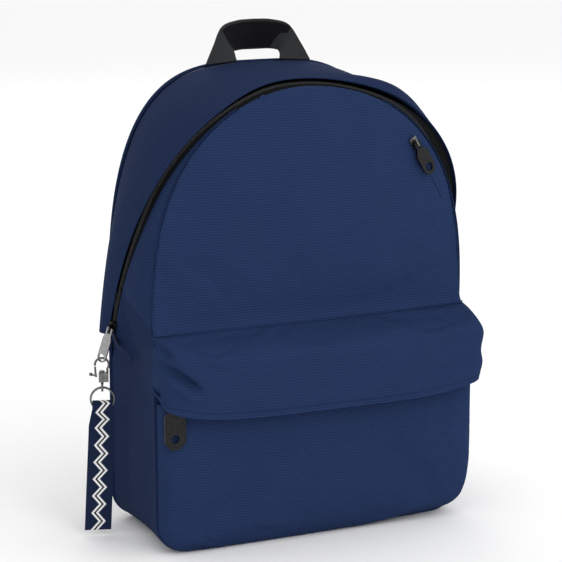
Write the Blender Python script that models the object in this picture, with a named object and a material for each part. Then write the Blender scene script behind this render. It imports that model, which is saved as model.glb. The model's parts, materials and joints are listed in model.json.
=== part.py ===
"""School backpack with a domed front, a flapped pocket, two shoulder straps and a zip lanyard.

Metres, +Z up. The front faces -Y, the bag stands on z = 0 and the origin is the middle of its base.
"""
import math

import bmesh
import bpy
from mathutils import Matrix, Vector

for item in list(bpy.data.objects):
    bpy.data.objects.remove(item, do_unlink=True)

# Fabric and clearances
FABRIC = 0.0018
TAPE = 0.0010
GAP = 0.0003

# Bag body: the arches all rise from the fold or from the zip's lower ends
FOLD_Z = 0.199
ARCH_RISE = 2.7
BAG_HALF = 0.168
BACK_Y = 0.054
BACK_HALF = BAG_HALF - 0.0185
BACK_TOP = 0.420
BACK_TURN = 3.4
BACK_PAD = 0.012
BACK_STEP = 0.004
BACK_ROUND = (0.0022, 0.0070)
FOAM_THICK = 0.006
FOAM_INSET = 0.003
LINING_THICK = 0.0012
CORNER = 0.028
GUSSET_BULGE = 0.010
SIDE_TUCK = 0.0030

# Main zip, measured at the rear gusset's lip
ZIP_END_Z = 0.186
ZIP_END_Y = 0.018
ZIP_SHOULDER_Y = -0.050
ZIP_CROWN_Y = -0.030
ZIP_SHOULDER = math.radians(57)
ZIP_HALF = BAG_HALF
ZIP_TOP = 0.413
ZIP_TURN = 2.13
ZIP_GAP = 0.010
ZIP_DROP = 0.0055
ZIP_RECESS = 0.0025
ZIP_TUCK = 0.004
COIL_GAP = 0.0026
COIL_OFFSET = 0.0008
ZIP_FOLD = math.radians(6.8)
ZIP_FACE = math.radians(65)
ZIP_TURNED = math.radians(35)
ZIP_MARGIN = 0.0015
FOLD_PLAY = 0.001
TUCK_MIDDLE = 0.009
TUCK_LOW = 0.020

# Front panels and wings
FRONT_HALF = BAG_HALF - 0.0125
FRONT_TOP = 0.4068
FRONT_EDGE_Y = -0.057
FRONT_CROWN = 0.006
FRONT_BELLY = 0.004
FRONT_LEAN = 0.0155
WING_TOP = math.radians(46)
HINGE_Y = -0.0635

# Front pocket and its flap
POCKET_HALF = FRONT_HALF - 0.0020
POCKET_FRONT_Y = -0.084
POCKET_TAPER = 0.012
POCKET_ROUND = 0.020
POCKET_ZIP_Z = 0.143
POCKET_MOUTH = 0.0048
PILLOW_LEFT = 16
PILLOW_RIGHT = 44
FLAP_HALF = FRONT_HALF + 0.0015
FLAP_FRONT_Y = -0.102
FLAP_TAPER = 0.014
FLAP_ROUND = 0.022
FLAP_EDGE_Z = 0.1235
FLAP_LIFT = 0.0135
FLAP_CORNER = 0.014
POCKET_TAPE_BACK = 0.0046
POCKET_TAPE_HALF = FLAP_HALF - 0.0195
POCKET_TAPE_TALL = 0.0092
POCKET_SLIDER_X = -POCKET_TAPE_HALF - 0.0060

# Concealed chest pocket
CHEST_TOP_Z = 0.352
CHEST_LOW_Z = 0.3005
CHEST_TOP_INSET = 0.0172
CHEST_LOW_INSET = 0.0125
CHEST_SLOT = 0.0032
CHEST_TAPE_HALF = 0.006
CHEST_MARGIN = 0.004
CHEST_POUCH = (FRONT_HALF - 0.1255, FRONT_HALF - 0.0155, 0.235, 0.368)
CHEST_POUCH_DEEP = 0.009
CHEST_POUCH_INSET = 0.009

# Zip sliders and pulls
SLIDER_LONG = 0.011
SLIDER_WIDE = 0.0076
SLIDER_PLATE = 0.0016
SLIDER_WEB = 0.0015
SLIDER_PLAY = 0.0006
SLIDER_SINK = 0.0003
POCKET_STAND = 0.0040
LUG_LONG = 0.0070
LUG_TALL = 0.0044
LUG_THICK = 0.0016
LUG_HOLE = 0.0028
BAR = 0.0013
MAIN_SLIDER_RUN = 0.008
PULL_NECK = 0.0064
PULL_SLOT = 0.0046
MAIN_PULL = (0.0094, 0.0345, 0.0016)
MAIN_PULL_HOLE = 0.0067
POCKET_PULL = (0.0195, 0.043, 0.0018)
POCKET_PULL_HOLE = 0.0075
CHEST_PULL = (0.0140, 0.033, 0.0020)
CHEST_PULL_HOLE = 0.0080

# Lanyard
HOOK_BOW = 0.0062
HOOK_WIRE = 0.0022
HOOK_TURN = math.radians(-20)
HOOK_BLOCK = (0.0088, 0.0056, 0.0085)
HOOK_BORE = 0.0017
GATE_WIRE = 0.0010
GATE_KNOB = 0.0017
SWIVEL_PIN = 0.0013
SWIVEL_HEAD = 0.0024
EYE_RADIUS = 0.0037
EYE_WIRE = 0.0010
RING_RADIUS = 0.0106
RING_WIRE = 0.0017
RIBBON_WIDE = 0.024
RIBBON_NECK = 0.015
RIBBON_LAYER = 0.0011
RIBBON_LOOP = 0.0036
RIBBON_FOOT_Z = 0.0045
RIBBON_SEAM = 0.0120
RIBBON_SHOULDER = 0.020
RIBBON_LEAN = math.radians(3.2)

# Handle and straps
HANDLE_THICK = 0.0026
HANDLE_X = -0.0045
HANDLE_HINGE = (0.0450, 0.4215)
STRAP_WIDE = 0.058
STRAP_THICK = 0.013
WEBBING_WIDE = 0.025
WEBBING_THICK = 0.0016
YOKE = (0.190, 0.004, 0.050)
YOKE_Z = 0.360
TAB_THICK = 0.003
TAB_OUT = BACK_HALF - 0.0105
TAB_IN = BACK_HALF - 0.0435
TAB_Z = 0.055
TAB_WIDE = 0.046
TAB_NARROW = 0.020
STRAP_TOP_X = 0.052
STRAP_LOW_X = BACK_HALF - 0.0335
STRAP_TOP_STAND = 0.0115
STRAP_LOW_STAND = 0.0055
ADJUSTER = (0.034, 0.023, 0.0040)
ADJUSTER_SLOT = (0.027, 0.005)
ADJUSTER_AT = 0.0125

NAVY = (0.0185, 0.0340, 0.0910)
NAVY_DARK = (0.0120, 0.0220, 0.0560)
BLACK = (0.0090, 0.0095, 0.0110)
GREY = (0.0300, 0.0310, 0.0330)
FOAM = (0.2500, 0.2500, 0.2600)
GUNMETAL = (0.0600, 0.0600, 0.0640)
SILVER = (0.4200, 0.4200, 0.4200)


def finish(node, colour, roughness, metallic):
    """Give a node its own Principled material."""
    material = bpy.data.materials.new(node.name + "_finish")
    material.use_nodes = True
    shader = material.node_tree.nodes["Principled BSDF"]
    shader.inputs["Base Color"].default_value = (*colour, 1)
    shader.inputs["Roughness"].default_value = roughness
    shader.inputs["Metallic"].default_value = metallic
    node.data.materials.append(material)


def add(name, bm, colour, roughness=0.85, metallic=0.0, origin=None):
    """Turn a bmesh into a named object whose origin lies on its joint."""
    bmesh.ops.recalc_face_normals(bm, faces=bm.faces)
    mesh = bpy.data.meshes.new(name)
    bm.to_mesh(mesh)
    bm.free()
    node = bpy.data.objects.new(name, mesh)
    bpy.context.collection.objects.link(node)
    if origin is not None:
        mesh.transform(Matrix.Translation(-Vector(origin)))
        node.location = origin
    finish(node, colour, roughness, metallic)
    return node


def panel(name, patches, colour, thickness=FABRIC, away=(0, 0, 0.2), origin=None):
    """Make a sheet of fabric from grids of points and give it its thickness on the inner side."""
    bm = bmesh.new()
    for grid in patches:
        rows = [[bm.verts.new(point) for point in row] for row in grid]
        for low, high in zip(rows, rows[1:]):
            for a, b, c, d in zip(low, low[1:], high[1:], high):
                bm.faces.new((a, b, c, d))
    bmesh.ops.remove_doubles(bm, verts=bm.verts, dist=1e-5)
    bmesh.ops.recalc_face_normals(bm, faces=bm.faces)
    bm.normal_update()
    lean = sum(f.normal.dot(f.calc_center_median() - Vector(away)) * f.calc_area() for f in bm.faces)
    if lean < 0:
        bmesh.ops.reverse_faces(bm, faces=bm.faces)
    mesh = bpy.data.meshes.new(name)
    bm.to_mesh(mesh)
    bm.free()
    node = bpy.data.objects.new(name, mesh)
    bpy.context.collection.objects.link(node)
    if origin is not None:
        mesh.transform(Matrix.Translation(-Vector(origin)))
        node.location = origin
    wall = node.modifiers.new("thickness", "SOLIDIFY")
    wall.thickness = thickness
    wall.offset = -1
    wall.use_even_offset = True
    wall.use_quality_normals = True
    finish(node, colour, 0.85, 0.0)
    return node


def box(bm, size, matrix=Matrix()):
    """Add a box of the given size to a bmesh."""
    scale = Matrix.Diagonal((*size, 1))
    return bmesh.ops.create_cube(bm, size=1.0, matrix=matrix @ scale)["verts"]


def rod(bm, radius, length, matrix=Matrix(), sides=16):
    """Add a cylinder along local Z to a bmesh."""
    return bmesh.ops.create_cone(bm, cap_ends=True, segments=sides, radius1=radius, radius2=radius,
                                 depth=length, matrix=matrix)["verts"]


def loft(bm, rings, closed=False):
    """Skin rings of points, capping both ends unless the loft closes on itself."""
    loops = [[bm.verts.new(point) for point in ring] for ring in rings]
    pairs = list(zip(loops, loops[1:]))
    if closed:
        pairs.append((loops[-1], loops[0]))
    for near, far in pairs:
        for k in range(len(near)):
            m = (k + 1) % len(near)
            bm.faces.new((near[k], near[m], far[m], far[k]))
    if not closed:
        bm.faces.new(loops[0][::-1])
        bm.faces.new(loops[-1])


def tube(bm, path, radius, sides=8, closed=False):
    """Sweep a round wire along points."""
    rings = []
    count = len(path)
    side = None
    for k, point in enumerate(path):
        before = path[k - 1] if k or closed else point
        after = path[(k + 1) % count] if k + 1 < count or closed else point
        along = (after - before).normalized()
        if side is None:
            side = along.orthogonal()
        side = (side - along * side.dot(along)).normalized()
        up = along.cross(side)
        ring = []
        for m in range(sides):
            turn = 2 * math.pi * m / sides
            ring.append(point + (side * math.cos(turn) + up * math.sin(turn)) * radius)
        rings.append(ring)
    loft(bm, rings, closed)


def cut(node, bm, operation="DIFFERENCE"):
    """Cut or join a closed mesh into a node with an exact Boolean."""
    bmesh.ops.recalc_face_normals(bm, faces=bm.faces)
    mesh = bpy.data.meshes.new(node.name + "_tool")
    bm.to_mesh(mesh)
    bm.free()
    tool = bpy.data.objects.new(node.name + "_tool", mesh)
    bpy.context.collection.objects.link(tool)
    tool.hide_render = True
    tool.display_type = "WIRE"
    tool.parent = node
    tool.matrix_parent_inverse = Matrix.Translation(-node.location)
    step = node.modifiers.new(operation.lower(), "BOOLEAN")
    step.operation = operation
    step.solver = "EXACT"
    step.object = tool


def frame_at(place, along, outward):
    """Axes at a place: X across, Y along the zip, Z outward."""
    y = Vector(along).normalized()
    z = Vector(outward)
    z = (z - y * z.dot(y)).normalized()
    x = y.cross(z)
    matrix = Matrix((x, y, z)).transposed().to_4x4()
    matrix.translation = place
    return matrix


# Shape of the bag: arches at the back seam, the two zip edges and the front seam
def arch(half, base, top, turn, angle):
    side = math.cos(angle)
    x = half * math.copysign(abs(side) ** (2 / turn), side)
    z = base + (top - base) * max(math.sin(angle), 0.0) ** (2 / ARCH_RISE)
    return x, z


def zip_depth(angle):
    rise = min(angle, math.pi - angle)
    if rise < ZIP_SHOULDER:
        ease = max(math.sin(math.pi / 2 * rise / ZIP_SHOULDER), 0.0) ** (2 / ARCH_RISE)
        return ZIP_END_Y + (ZIP_SHOULDER_Y - ZIP_END_Y) * ease
    ease = math.sin(math.pi / 2 * (rise - ZIP_SHOULDER) / (math.pi / 2 - ZIP_SHOULDER)) ** 2
    return ZIP_SHOULDER_Y + (ZIP_CROWN_Y - ZIP_SHOULDER_Y) * ease


def back_seam(angle):
    x, z = arch(BACK_HALF, ZIP_END_Z, BACK_TOP, BACK_TURN, angle)
    return Vector((x, BACK_Y - GAP, z))


def zip_lip(angle):
    x, z = arch(ZIP_HALF, ZIP_END_Z, ZIP_TOP, ZIP_TURN, angle)
    return Vector((x, zip_depth(angle), z))


def zip_edge(angle):
    """Front edge of the zip, which faces the side at its lower ends and the front higher up."""
    rise = min(angle, math.pi - angle)
    ease = min(max((rise - ZIP_FOLD) / (ZIP_TURNED - ZIP_FOLD), 0.0), 1.0)
    face = ZIP_FACE * (1 + math.cos(math.pi * ease)) / 2
    x, z = arch(ZIP_HALF - ZIP_GAP * math.cos(face), ZIP_END_Z, ZIP_TOP - ZIP_DROP, ZIP_TURN, angle)
    forward = math.sin(face) + max(math.sin(angle), 0.0) ** 6
    return Vector((x, zip_depth(angle) - ZIP_GAP * forward, z))


def front_seam(angle):
    x, z = arch(FRONT_HALF, FOLD_Z, FRONT_TOP, ZIP_TURN, angle)
    rise = min(angle, math.pi - angle)
    lean = (max(rise - WING_TOP, 0.0) / (math.pi / 2 - WING_TOP)) ** 2.2
    return Vector((x, FRONT_EDGE_Y + FRONT_LEAN * lean, z))


def zip_frame(angle):
    """Axes on the zip's middle line: across from lip to edge, along the arch, outward."""
    step = 0.002
    middle = (zip_lip(angle) + zip_edge(angle)) / 2
    ahead = (zip_lip(angle + step) + zip_edge(angle + step)) / 2
    low = max(angle - step, 0.0)
    behind = (zip_lip(low) + zip_edge(low)) / 2
    along = (ahead - behind).normalized()
    across = (zip_edge(angle) - zip_lip(angle)).normalized()
    across = (across - along * across.dot(along)).normalized()
    return middle, across, along, along.cross(across)


def spread(start, end, count):
    return [start + (end - start) * k / count for k in range(count + 1)]


def arch_angles(start, count):
    """Angles over the whole arch, closer together at the two ends where the arch climbs fastest."""
    half = [start + (math.pi / 2 - start) * (k / count) ** 1.3 for k in range(count + 1)]
    return half + [math.pi - angle for angle in half[-2::-1]]


# Rear gusset: the band over the top between the back panel and the zip
def gusset_point(angle, share):
    point = back_seam(angle).lerp(zip_lip(angle), share)
    bulge = GUSSET_BULGE * (1 - 0.65 * math.sin(angle)) * math.sin(math.pi * share)
    return point + Vector((math.cos(angle), 0, math.sin(angle))) * bulge


panel("rear_gusset", [[[gusset_point(angle, share) for angle in arch_angles(0.0, 12)]
                       for share in spread(0.0, 1.0, 6)]], NAVY)


# Back panel with its padding, the foam sheet behind it and the lining
def back_outline(inset):
    """Outline of the back, counterclockwise seen from behind, as (x, z)."""
    low = CORNER - inset
    points = []
    for angle in arch_angles(0.0, 10):
        x, z = arch(BACK_HALF - inset, ZIP_END_Z, BACK_TOP - inset, BACK_TURN, angle)
        points.append((x, z))
    centre_x = BACK_HALF - inset - low
    for k in range(5):
        turn = math.pi + math.pi / 2 * k / 4
        points.append((-centre_x + low * math.cos(turn), CORNER + low * math.sin(turn)))
    for k in range(5):
        turn = 1.5 * math.pi + math.pi / 2 * k / 4
        points.append((centre_x + low * math.cos(turn), CORNER + low * math.sin(turn)))
    return points


def plate(name, layers, colour):
    """Stack outlines given as (inset, y) into one closed plate."""
    bm = bmesh.new()
    loft(bm, [[Vector((x, y, z)) for x, z in back_outline(inset)] for inset, y in layers])
    return add(name, bm, colour)


BACK_FACE = BACK_Y + BACK_PAD
near, far = BACK_ROUND
plate("back_panel", [(0.0, BACK_Y), (0.0, BACK_Y + BACK_STEP), (near, BACK_FACE - near),
                     (far, BACK_FACE)], BLACK)
FOAM_Y = BACK_Y - GAP
LINING_Y = FOAM_Y - FOAM_THICK - GAP
plate("back_foam", [(FOAM_INSET, FOAM_Y), (FOAM_INSET, FOAM_Y - FOAM_THICK)], FOAM)
plate("back_lining", [(FOAM_INSET, LINING_Y), (FOAM_INSET, LINING_Y - LINING_THICK)], GREY)


# Side gussets: the lower sides with the corner of the wing below the fold, and rounded bottom corners
def wing_point(angle, share):
    return zip_edge(angle).lerp(front_seam(angle), share)


def wing_limit(angle):
    reach = (front_seam(angle) - zip_edge(angle)).length
    return 1 - (2 * FABRIC + GAP) / reach


def fold_angle(share):
    return ZIP_FOLD * (1 - share)


WING_SHARES = spread(0.0, wing_limit(0.0), 5)
BACK_SHARES = [0.04, 0.3, 0.65, 1.0]


def side_half(y):
    """Half width of the lower sides, which hollow a little between the front and back seams."""
    share = (y - FRONT_EDGE_Y) / (BACK_Y - FRONT_EDGE_Y)
    return FRONT_HALF + (BACK_HALF - FRONT_HALF) * share - SIDE_TUCK * math.sin(math.pi * share)


def side_column(top):
    """Points from the top of the lower side in under the zip's end, down and round the bottom corner."""
    low = side_half(top.y)
    column = [top]
    tuck = ZIP_END_Z - TUCK_LOW
    column.append(Vector((top.x + (low - top.x) * 0.35, top.y, ZIP_END_Z - TUCK_MIDDLE)))
    column += [Vector((low, top.y, z)) for z in spread(tuck, CORNER, 3)[:-1]]
    for k in range(6):
        turn = math.pi / 2 * k / 5
        x = low - CORNER * (1 - math.cos(turn))
        column.append(Vector((x, top.y, CORNER * (1 - math.sin(turn)))))
    return column


def side_columns():
    columns = [side_column(wing_point(0.0, share)) for share in WING_SHARES[::-1]]
    start = zip_edge(0.0)
    end = back_seam(0.0)
    for share in BACK_SHARES:
        top = start.lerp(end, share)
        top.z -= 2 * GAP
        columns.append(side_column(top))
    return columns


def mirror(grid, side):
    return [[Vector((point.x * side, point.y, point.z)) for point in row] for row in grid]


SIDES = (("right", 1), ("left", -1))
for label, side in SIDES:
    corner = []
    for share in WING_SHARES:
        top = fold_angle(share) - FOLD_PLAY
        corner.append([wing_point(angle, share) for angle in spread(0.0, top, 3)])
    panel("side_gusset_" + label, [mirror(side_columns(), side), mirror(corner, side)], NAVY_DARK)


# Bottom panel, lower front panel and the upper front panel
def front_y(reach):
    return FRONT_EDGE_Y - FRONT_CROWN * (1 - reach * reach)


def corner_inset(z):
    """How far the rounded bottom corner takes the sides in at a height."""
    if z >= CORNER:
        return 0.0
    return CORNER - math.sqrt(max(CORNER ** 2 - (CORNER - z) ** 2, 0.0))


FRONT_SIDE = FRONT_EDGE_Y + FABRIC + 3 * GAP
base = []
for k in range(7):
    row = []
    y_side = FRONT_SIDE + (BACK_Y - GAP - FRONT_SIDE) * k / 6
    half = side_half(y_side) - CORNER - 3 * GAP
    for m in range(-6, 7):
        x = half * m / 6
        bow = (front_y(x / FRONT_HALF) - front_y(half / FRONT_HALF)) * (1 - k / 6)
        row.append(Vector((x, y_side + bow, 0.0)))
    base.append(row)
panel("bottom_panel", [base], NAVY_DARK)

REACH = [math.sin(math.pi / 2 * k / 8) for k in range(-8, 9)]
front = []
CORNER_ROWS = [CORNER * (1 - math.cos(math.pi / 2 * k / 4)) for k in range(4)]
for z in CORNER_ROWS + spread(CORNER, FOLD_Z - GAP, 3):
    half = FRONT_HALF - corner_inset(z)
    front.append([Vector((half * r, front_y(half * r / FRONT_HALF), z)) for r in REACH])
panel("lower_front_panel", [front], NAVY)


def upper_front(angle, reach):
    seam = front_seam(angle)
    share = math.sin(angle)
    crown = FRONT_CROWN * (1 - share ** 6) + FRONT_BELLY * math.sin(math.pi * min(share, 1.0))
    return Vector((seam.x * reach, seam.y - crown * (1 - reach * reach), seam.z))


def upper_front_at(x, z):
    """Point of the upper front panel above a given x and z."""
    rise = ((z - FOLD_Z) / (FRONT_TOP - FOLD_Z)) ** (ARCH_RISE / 2)
    angle = math.asin(rise)
    return upper_front(angle, x / front_seam(angle).x)


UPPER = [(math.radians(87) - 0.002) * (k / 12) ** 1.3 + 0.0002 for k in range(13)]
FLAP_AXIS = Vector((0.0, HINGE_Y, FOLD_Z))
upper = panel("upper_front_panel", [[[upper_front(angle, r) for r in REACH] for angle in UPPER]], NAVY,
              away=(0, 0.05, 0.25), origin=FLAP_AXIS)

# Wings between the zip and the front seam, above the fold
for label, side in SIDES:
    grid = []
    for k in range(6):
        column = []
        for m in range(11):
            start = fold_angle(WING_SHARES[k]) + FOLD_PLAY
            angle = start + (WING_TOP - start) * (m / 10) ** 1.2
            column.append(wing_point(angle, wing_limit(angle) * k / 5))
        grid.append(column)
    panel("wing_panel_" + label, [mirror(grid, side)], NAVY_DARK, origin=FLAP_AXIS)


# Main zip tapes, recessed behind the fabric edges
def tape_band(angles, near, far):
    """Band of tape between two distances from the lip, clear of the front panel over the crown."""
    grid = []
    for angle in angles:
        middle, across, along, outward = zip_frame(angle)
        lip = middle - across * ZIP_GAP / 2 - outward * ZIP_RECESS
        crown = min(max((math.sin(angle) - 0.55) / 0.2, 0.0), 1.0)
        reach = far - max(far - TAPE_CROWN, 0.0) * crown
        grid.append([lip + across * q for q in spread(near, reach, 2)])
    return grid


COIL_REAR = (ZIP_GAP - COIL_GAP) / 2 + COIL_OFFSET
COIL_FRONT = (ZIP_GAP + COIL_GAP) / 2 + COIL_OFFSET
TAPE_FRONT = ZIP_GAP + ZIP_TUCK
TAPE_CROWN = ZIP_GAP - 0.0008
panel("main_zip_rear_tape", [tape_band(arch_angles(ZIP_MARGIN, 14), FABRIC + 3 * GAP, COIL_REAR)],
      BLACK, TAPE)
panel("main_zip_front_tape", [tape_band(arch_angles(ZIP_FOLD + ZIP_MARGIN, 14), COIL_FRONT, TAPE_FRONT)],
      BLACK, TAPE, origin=FLAP_AXIS)
TAIL_ANGLES = spread(ZIP_MARGIN, ZIP_FOLD - ZIP_MARGIN, 4)
panel("main_zip_tail_right", [tape_band(TAIL_ANGLES, COIL_FRONT, TAPE_FRONT)], BLACK, TAPE)
panel("main_zip_tail_left", [tape_band([math.pi - a for a in TAIL_ANGLES], COIL_FRONT, TAPE_FRONT)],
      BLACK, TAPE)


# Front pocket, its flap and the zip hidden under the flap
def pillow_edge(reach):
    """Fullness towards the ends: the left end slopes away and the right end is packed squarer."""
    power = PILLOW_LEFT if reach < 0 else PILLOW_RIGHT
    return max(1 - abs(reach) ** power, 0.0) ** 0.4


def pocket_front_y(x):
    """Front of the pocket, which is shallower at its left end."""
    return POCKET_FRONT_Y + POCKET_TAPER * (1 - x / POCKET_HALF) / 2


POCKET_REACH = [math.copysign(abs(k / 10) ** 0.55, k) for k in range(-9, 10)]
POCKET_REACH = [-1.0, -0.98] + POCKET_REACH + [0.98, 1.0]


def pocket_rows():
    rows = [(POCKET_ROUND * (1 - math.cos(math.radians(a))), math.sin(math.radians(a)))
            for a in (5, 18, 32, 48, 65, 90)]
    return rows + [(z, 1.0) for z in spread(POCKET_ROUND, POCKET_ZIP_Z - POCKET_MOUTH, 3)[1:]]


pocket = []
for z, share in pocket_rows():
    half = POCKET_HALF - corner_inset(z)
    row = []
    for r in POCKET_REACH:
        x = half * r
        rest = front_y(x / FRONT_HALF) - 4 * GAP
        y = rest + (pocket_front_y(x) - rest) * share * pillow_edge(r)
        row.append(Vector((x, y, z)))
    pocket.append(row)
panel("pocket_front", [pocket], NAVY, away=(0, 0.05, 0.1))


def flap_y(x, share):
    rest = front_y(x / FRONT_HALF) - 4 * GAP
    front = FLAP_FRONT_Y + FLAP_TAPER * (1 - x / FLAP_HALF) / 2
    return rest + (front - rest) * share * pillow_edge(x / FLAP_HALF)


def flap_edge(reach):
    """Height of the flap's lower edge, which rises to both ends and rounds off at the left."""
    corner = min(max((-reach - 0.93) / 0.07, 0.0), 1.0)
    return FLAP_EDGE_Z + FLAP_LIFT * abs(reach) ** 4 + FLAP_CORNER * corner * corner


flap = []
for a in (4, 16, 30, 45, 65, 90):
    z = FOLD_Z - GAP - FLAP_ROUND * (1 - math.cos(math.radians(a)))
    flap.append([Vector((FLAP_HALF * r, flap_y(FLAP_HALF * r, math.sin(math.radians(a))), z))
                 for r in POCKET_REACH])
for k in (1, 2, 3):
    row = []
    for r in POCKET_REACH:
        z = FOLD_Z - GAP - FLAP_ROUND
        z += (flap_edge(r) - z) * k / 3
        row.append(Vector((FLAP_HALF * r, flap_y(FLAP_HALF * r, 1 - 0.006 * k * k), z)))
    flap.append(row)
panel("pocket_flap", [flap], NAVY, away=(0, 0.05, 0.1), origin=FLAP_AXIS)

TAPE_X = spread(-POCKET_TAPE_HALF, POCKET_TAPE_HALF, 8)


def pocket_tape_y(x):
    return pocket_front_y(x) + POCKET_TAPE_BACK


TAPE_EDGE = POCKET_ZIP_Z - COIL_GAP / 2
lower = [[Vector((x, pocket_tape_y(x), z)) for x in TAPE_X]
         for z in (TAPE_EDGE - POCKET_TAPE_TALL, TAPE_EDGE)]
panel("pocket_zip_lower_tape", [lower], BLACK, TAPE)
facing = [[Vector((x, pocket_tape_y(x), POCKET_ZIP_Z + COIL_GAP / 2)) for x in TAPE_X]]
for share, rise in ((0.12, 0.007), (0.55, 0.015), (1.0, 0.019)):
    row = []
    for x in TAPE_X:
        reach = flap_y(x, 1.0) + FABRIC + 2 * GAP
        start = pocket_tape_y(x)
        row.append(Vector((x, start + (reach - start) * share, POCKET_ZIP_Z + rise)))
    facing.append(row)
panel("pocket_zip_upper_tape", [facing], BLACK, TAPE, origin=FLAP_AXIS)


# Zip sliders: two plates joined by a web between the tapes, with a lug for the pull
def slider(name, matrix, back, front, colour, origin, lug_turn=0.0):
    """A slider whose back and front plates start at the given heights along the frame's Z."""
    bm = bmesh.new()
    face = matrix @ Matrix.Translation((0, 0, front + SLIDER_PLATE / 2))
    box(bm, (SLIDER_WIDE, SLIDER_LONG, SLIDER_PLATE), face)
    node = add(name, bm, colour, 0.4, 1.0, origin)
    bm = bmesh.new()
    tall = front - back + 2 * SLIDER_SINK
    box(bm, (SLIDER_WEB, SLIDER_LONG * 0.7, tall), matrix @ Matrix.Translation((0, 0, (front + back) / 2)))
    cut(node, bm, "UNION")
    bm = bmesh.new()
    low = back - SLIDER_PLATE / 2
    box(bm, (SLIDER_WIDE * 0.8, SLIDER_LONG * 0.9, SLIDER_PLATE), matrix @ Matrix.Translation((0, 0, low)))
    cut(node, bm, "UNION")
    bm = bmesh.new()
    high = front + SLIDER_PLATE + LUG_TALL / 2 - SLIDER_SINK
    lug = matrix @ Matrix.Translation((0, 0, high)) @ Matrix.Rotation(lug_turn, 4, "Z")
    box(bm, (LUG_THICK, LUG_LONG, LUG_TALL), lug)
    cut(node, bm, "UNION")
    bm = bmesh.new()
    bore = lug @ Matrix.Translation((0, 0, SLIDER_SINK)) @ Matrix.Rotation(math.pi / 2, 4, "Y")
    rod(bm, LUG_HOLE / 2, 4 * LUG_THICK, bore)
    cut(node, bm)
    return matrix @ Vector((0, 0, high + SLIDER_SINK))


def pull(name, matrix, size, outline, hole, hole_at, colour, roughness, origin):
    """A flat pull hanging along the frame's -Y from a bar through the lug, flat to the frame's Z."""
    wide, long, thick = size
    bm = bmesh.new()
    rings = []
    for z in (-thick / 2, thick / 2):
        rings.append([matrix @ Vector((x, y, z)) for x, y in outline])
    loft(bm, rings)
    node = add(name, bm, colour, roughness, 1.0, origin)
    bm = bmesh.new()
    slot = matrix @ Matrix.Translation((0, -(BAR + PULL_SLOT) / 2, 0))
    box(bm, (LUG_THICK + 0.0016, PULL_SLOT, 4 * thick), slot)
    cut(node, bm)
    bm = bmesh.new()
    rod(bm, hole / 2, 4 * thick, matrix @ Matrix.Translation((0, hole_at, 0)))
    cut(node, bm)
    return node


def rounded_end(wide, long):
    """Outline of a pull: a narrow neck at the bar widening to a round end."""
    half = wide / 2
    neck = PULL_NECK
    points = [(-neck / 2, BAR / 2), (-neck / 2, -0.0062), (-half, -0.011), (-half, -long + half)]
    for k in range(1, 8):
        turn = math.pi + math.pi * k / 8
        points.append((half * math.cos(turn), -long + half + half * math.sin(turn)))
    return points + [(half, -long + half), (half, -0.011), (neck / 2, -0.0062), (neck / 2, BAR / 2)]


def pointed_end(wide, long):
    """Outline of a pull: square shoulders and a blunt five-sided end."""
    half = wide / 2
    neck = PULL_NECK
    left = [(-neck / 2, BAR / 2), (-neck / 2, -0.0062), (-half, -0.0125), (-half, -long + 0.006),
            (-half * 0.45, -long)]
    return left + [(-x, y) for x, y in left[::-1]]


def hang(place, across):
    """Axes of a part that hangs as low as a hinge along the given direction lets it."""
    across = Vector(across)
    up = Vector((0, 0, 1)) - across * across.z
    return frame_at(place, up, across.cross(up))


# Main slider at the left end of the zip
place, across, along, outward = zip_frame(math.pi - ZIP_MARGIN)
MAIN_ALONG = -along
MAIN_PLACE = place + MAIN_ALONG * MAIN_SLIDER_RUN + across * COIL_OFFSET
main_frame = frame_at(MAIN_PLACE, MAIN_ALONG, outward)
MAIN_BAR = slider("main_zip_slider", main_frame, -ZIP_RECESS - TAPE - SLIDER_PLAY, SLIDER_PLAY, GUNMETAL,
                  MAIN_PLACE)
MAIN_ACROSS = across
main_pull_frame = hang(MAIN_BAR, MAIN_ACROSS)
wide, long, thick = MAIN_PULL
MAIN_EYE = wide / 2 - long
pull("main_zip_pull", main_pull_frame, MAIN_PULL, rounded_end(wide, long), MAIN_PULL_HOLE, MAIN_EYE,
     SILVER, 0.3, MAIN_BAR)

# Trigger hook through the pull's eye, turned about the vertical
HOOK_TOP = main_pull_frame @ Vector((0, MAIN_EYE - 2 * GAP, 0))
hook_frame = Matrix.Translation(HOOK_TOP) @ Matrix.Rotation(HOOK_TURN, 4, "Z")


def hook(x, z, y=0.0):
    """Point in the hook's own plane, x to its side and z up from the top of the bow."""
    return hook_frame @ Vector((x, y, z))


def bow(turn):
    return hook(HOOK_BOW * math.cos(turn), -HOOK_BOW + HOOK_BOW * math.sin(turn))


HOOK_BASE = -2 * HOOK_BOW - 0.0010
BLOCK_Z = HOOK_BASE - HOOK_BLOCK[2] / 2
bm = bmesh.new()
box(bm, HOOK_BLOCK, hook_frame @ Matrix.Translation((0.0014, 0, BLOCK_Z)))
node = add("trigger_hook", bm, SILVER, 0.25, 1.0, HOOK_TOP)
bm = bmesh.new()
path = [hook(0.0044, HOOK_BASE - 0.004), hook(0.0050, HOOK_BASE + 0.001)]
path += [bow(math.radians(a)) for a in range(-40, 191, 15)]
tube(bm, path, HOOK_WIRE / 2)
cut(node, bm, "UNION")
bm = bmesh.new()
rod(bm, HOOK_BORE, 3 * HOOK_BLOCK[2], hook_frame @ Matrix.Translation((0, 0, BLOCK_Z)))
cut(node, bm)

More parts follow.
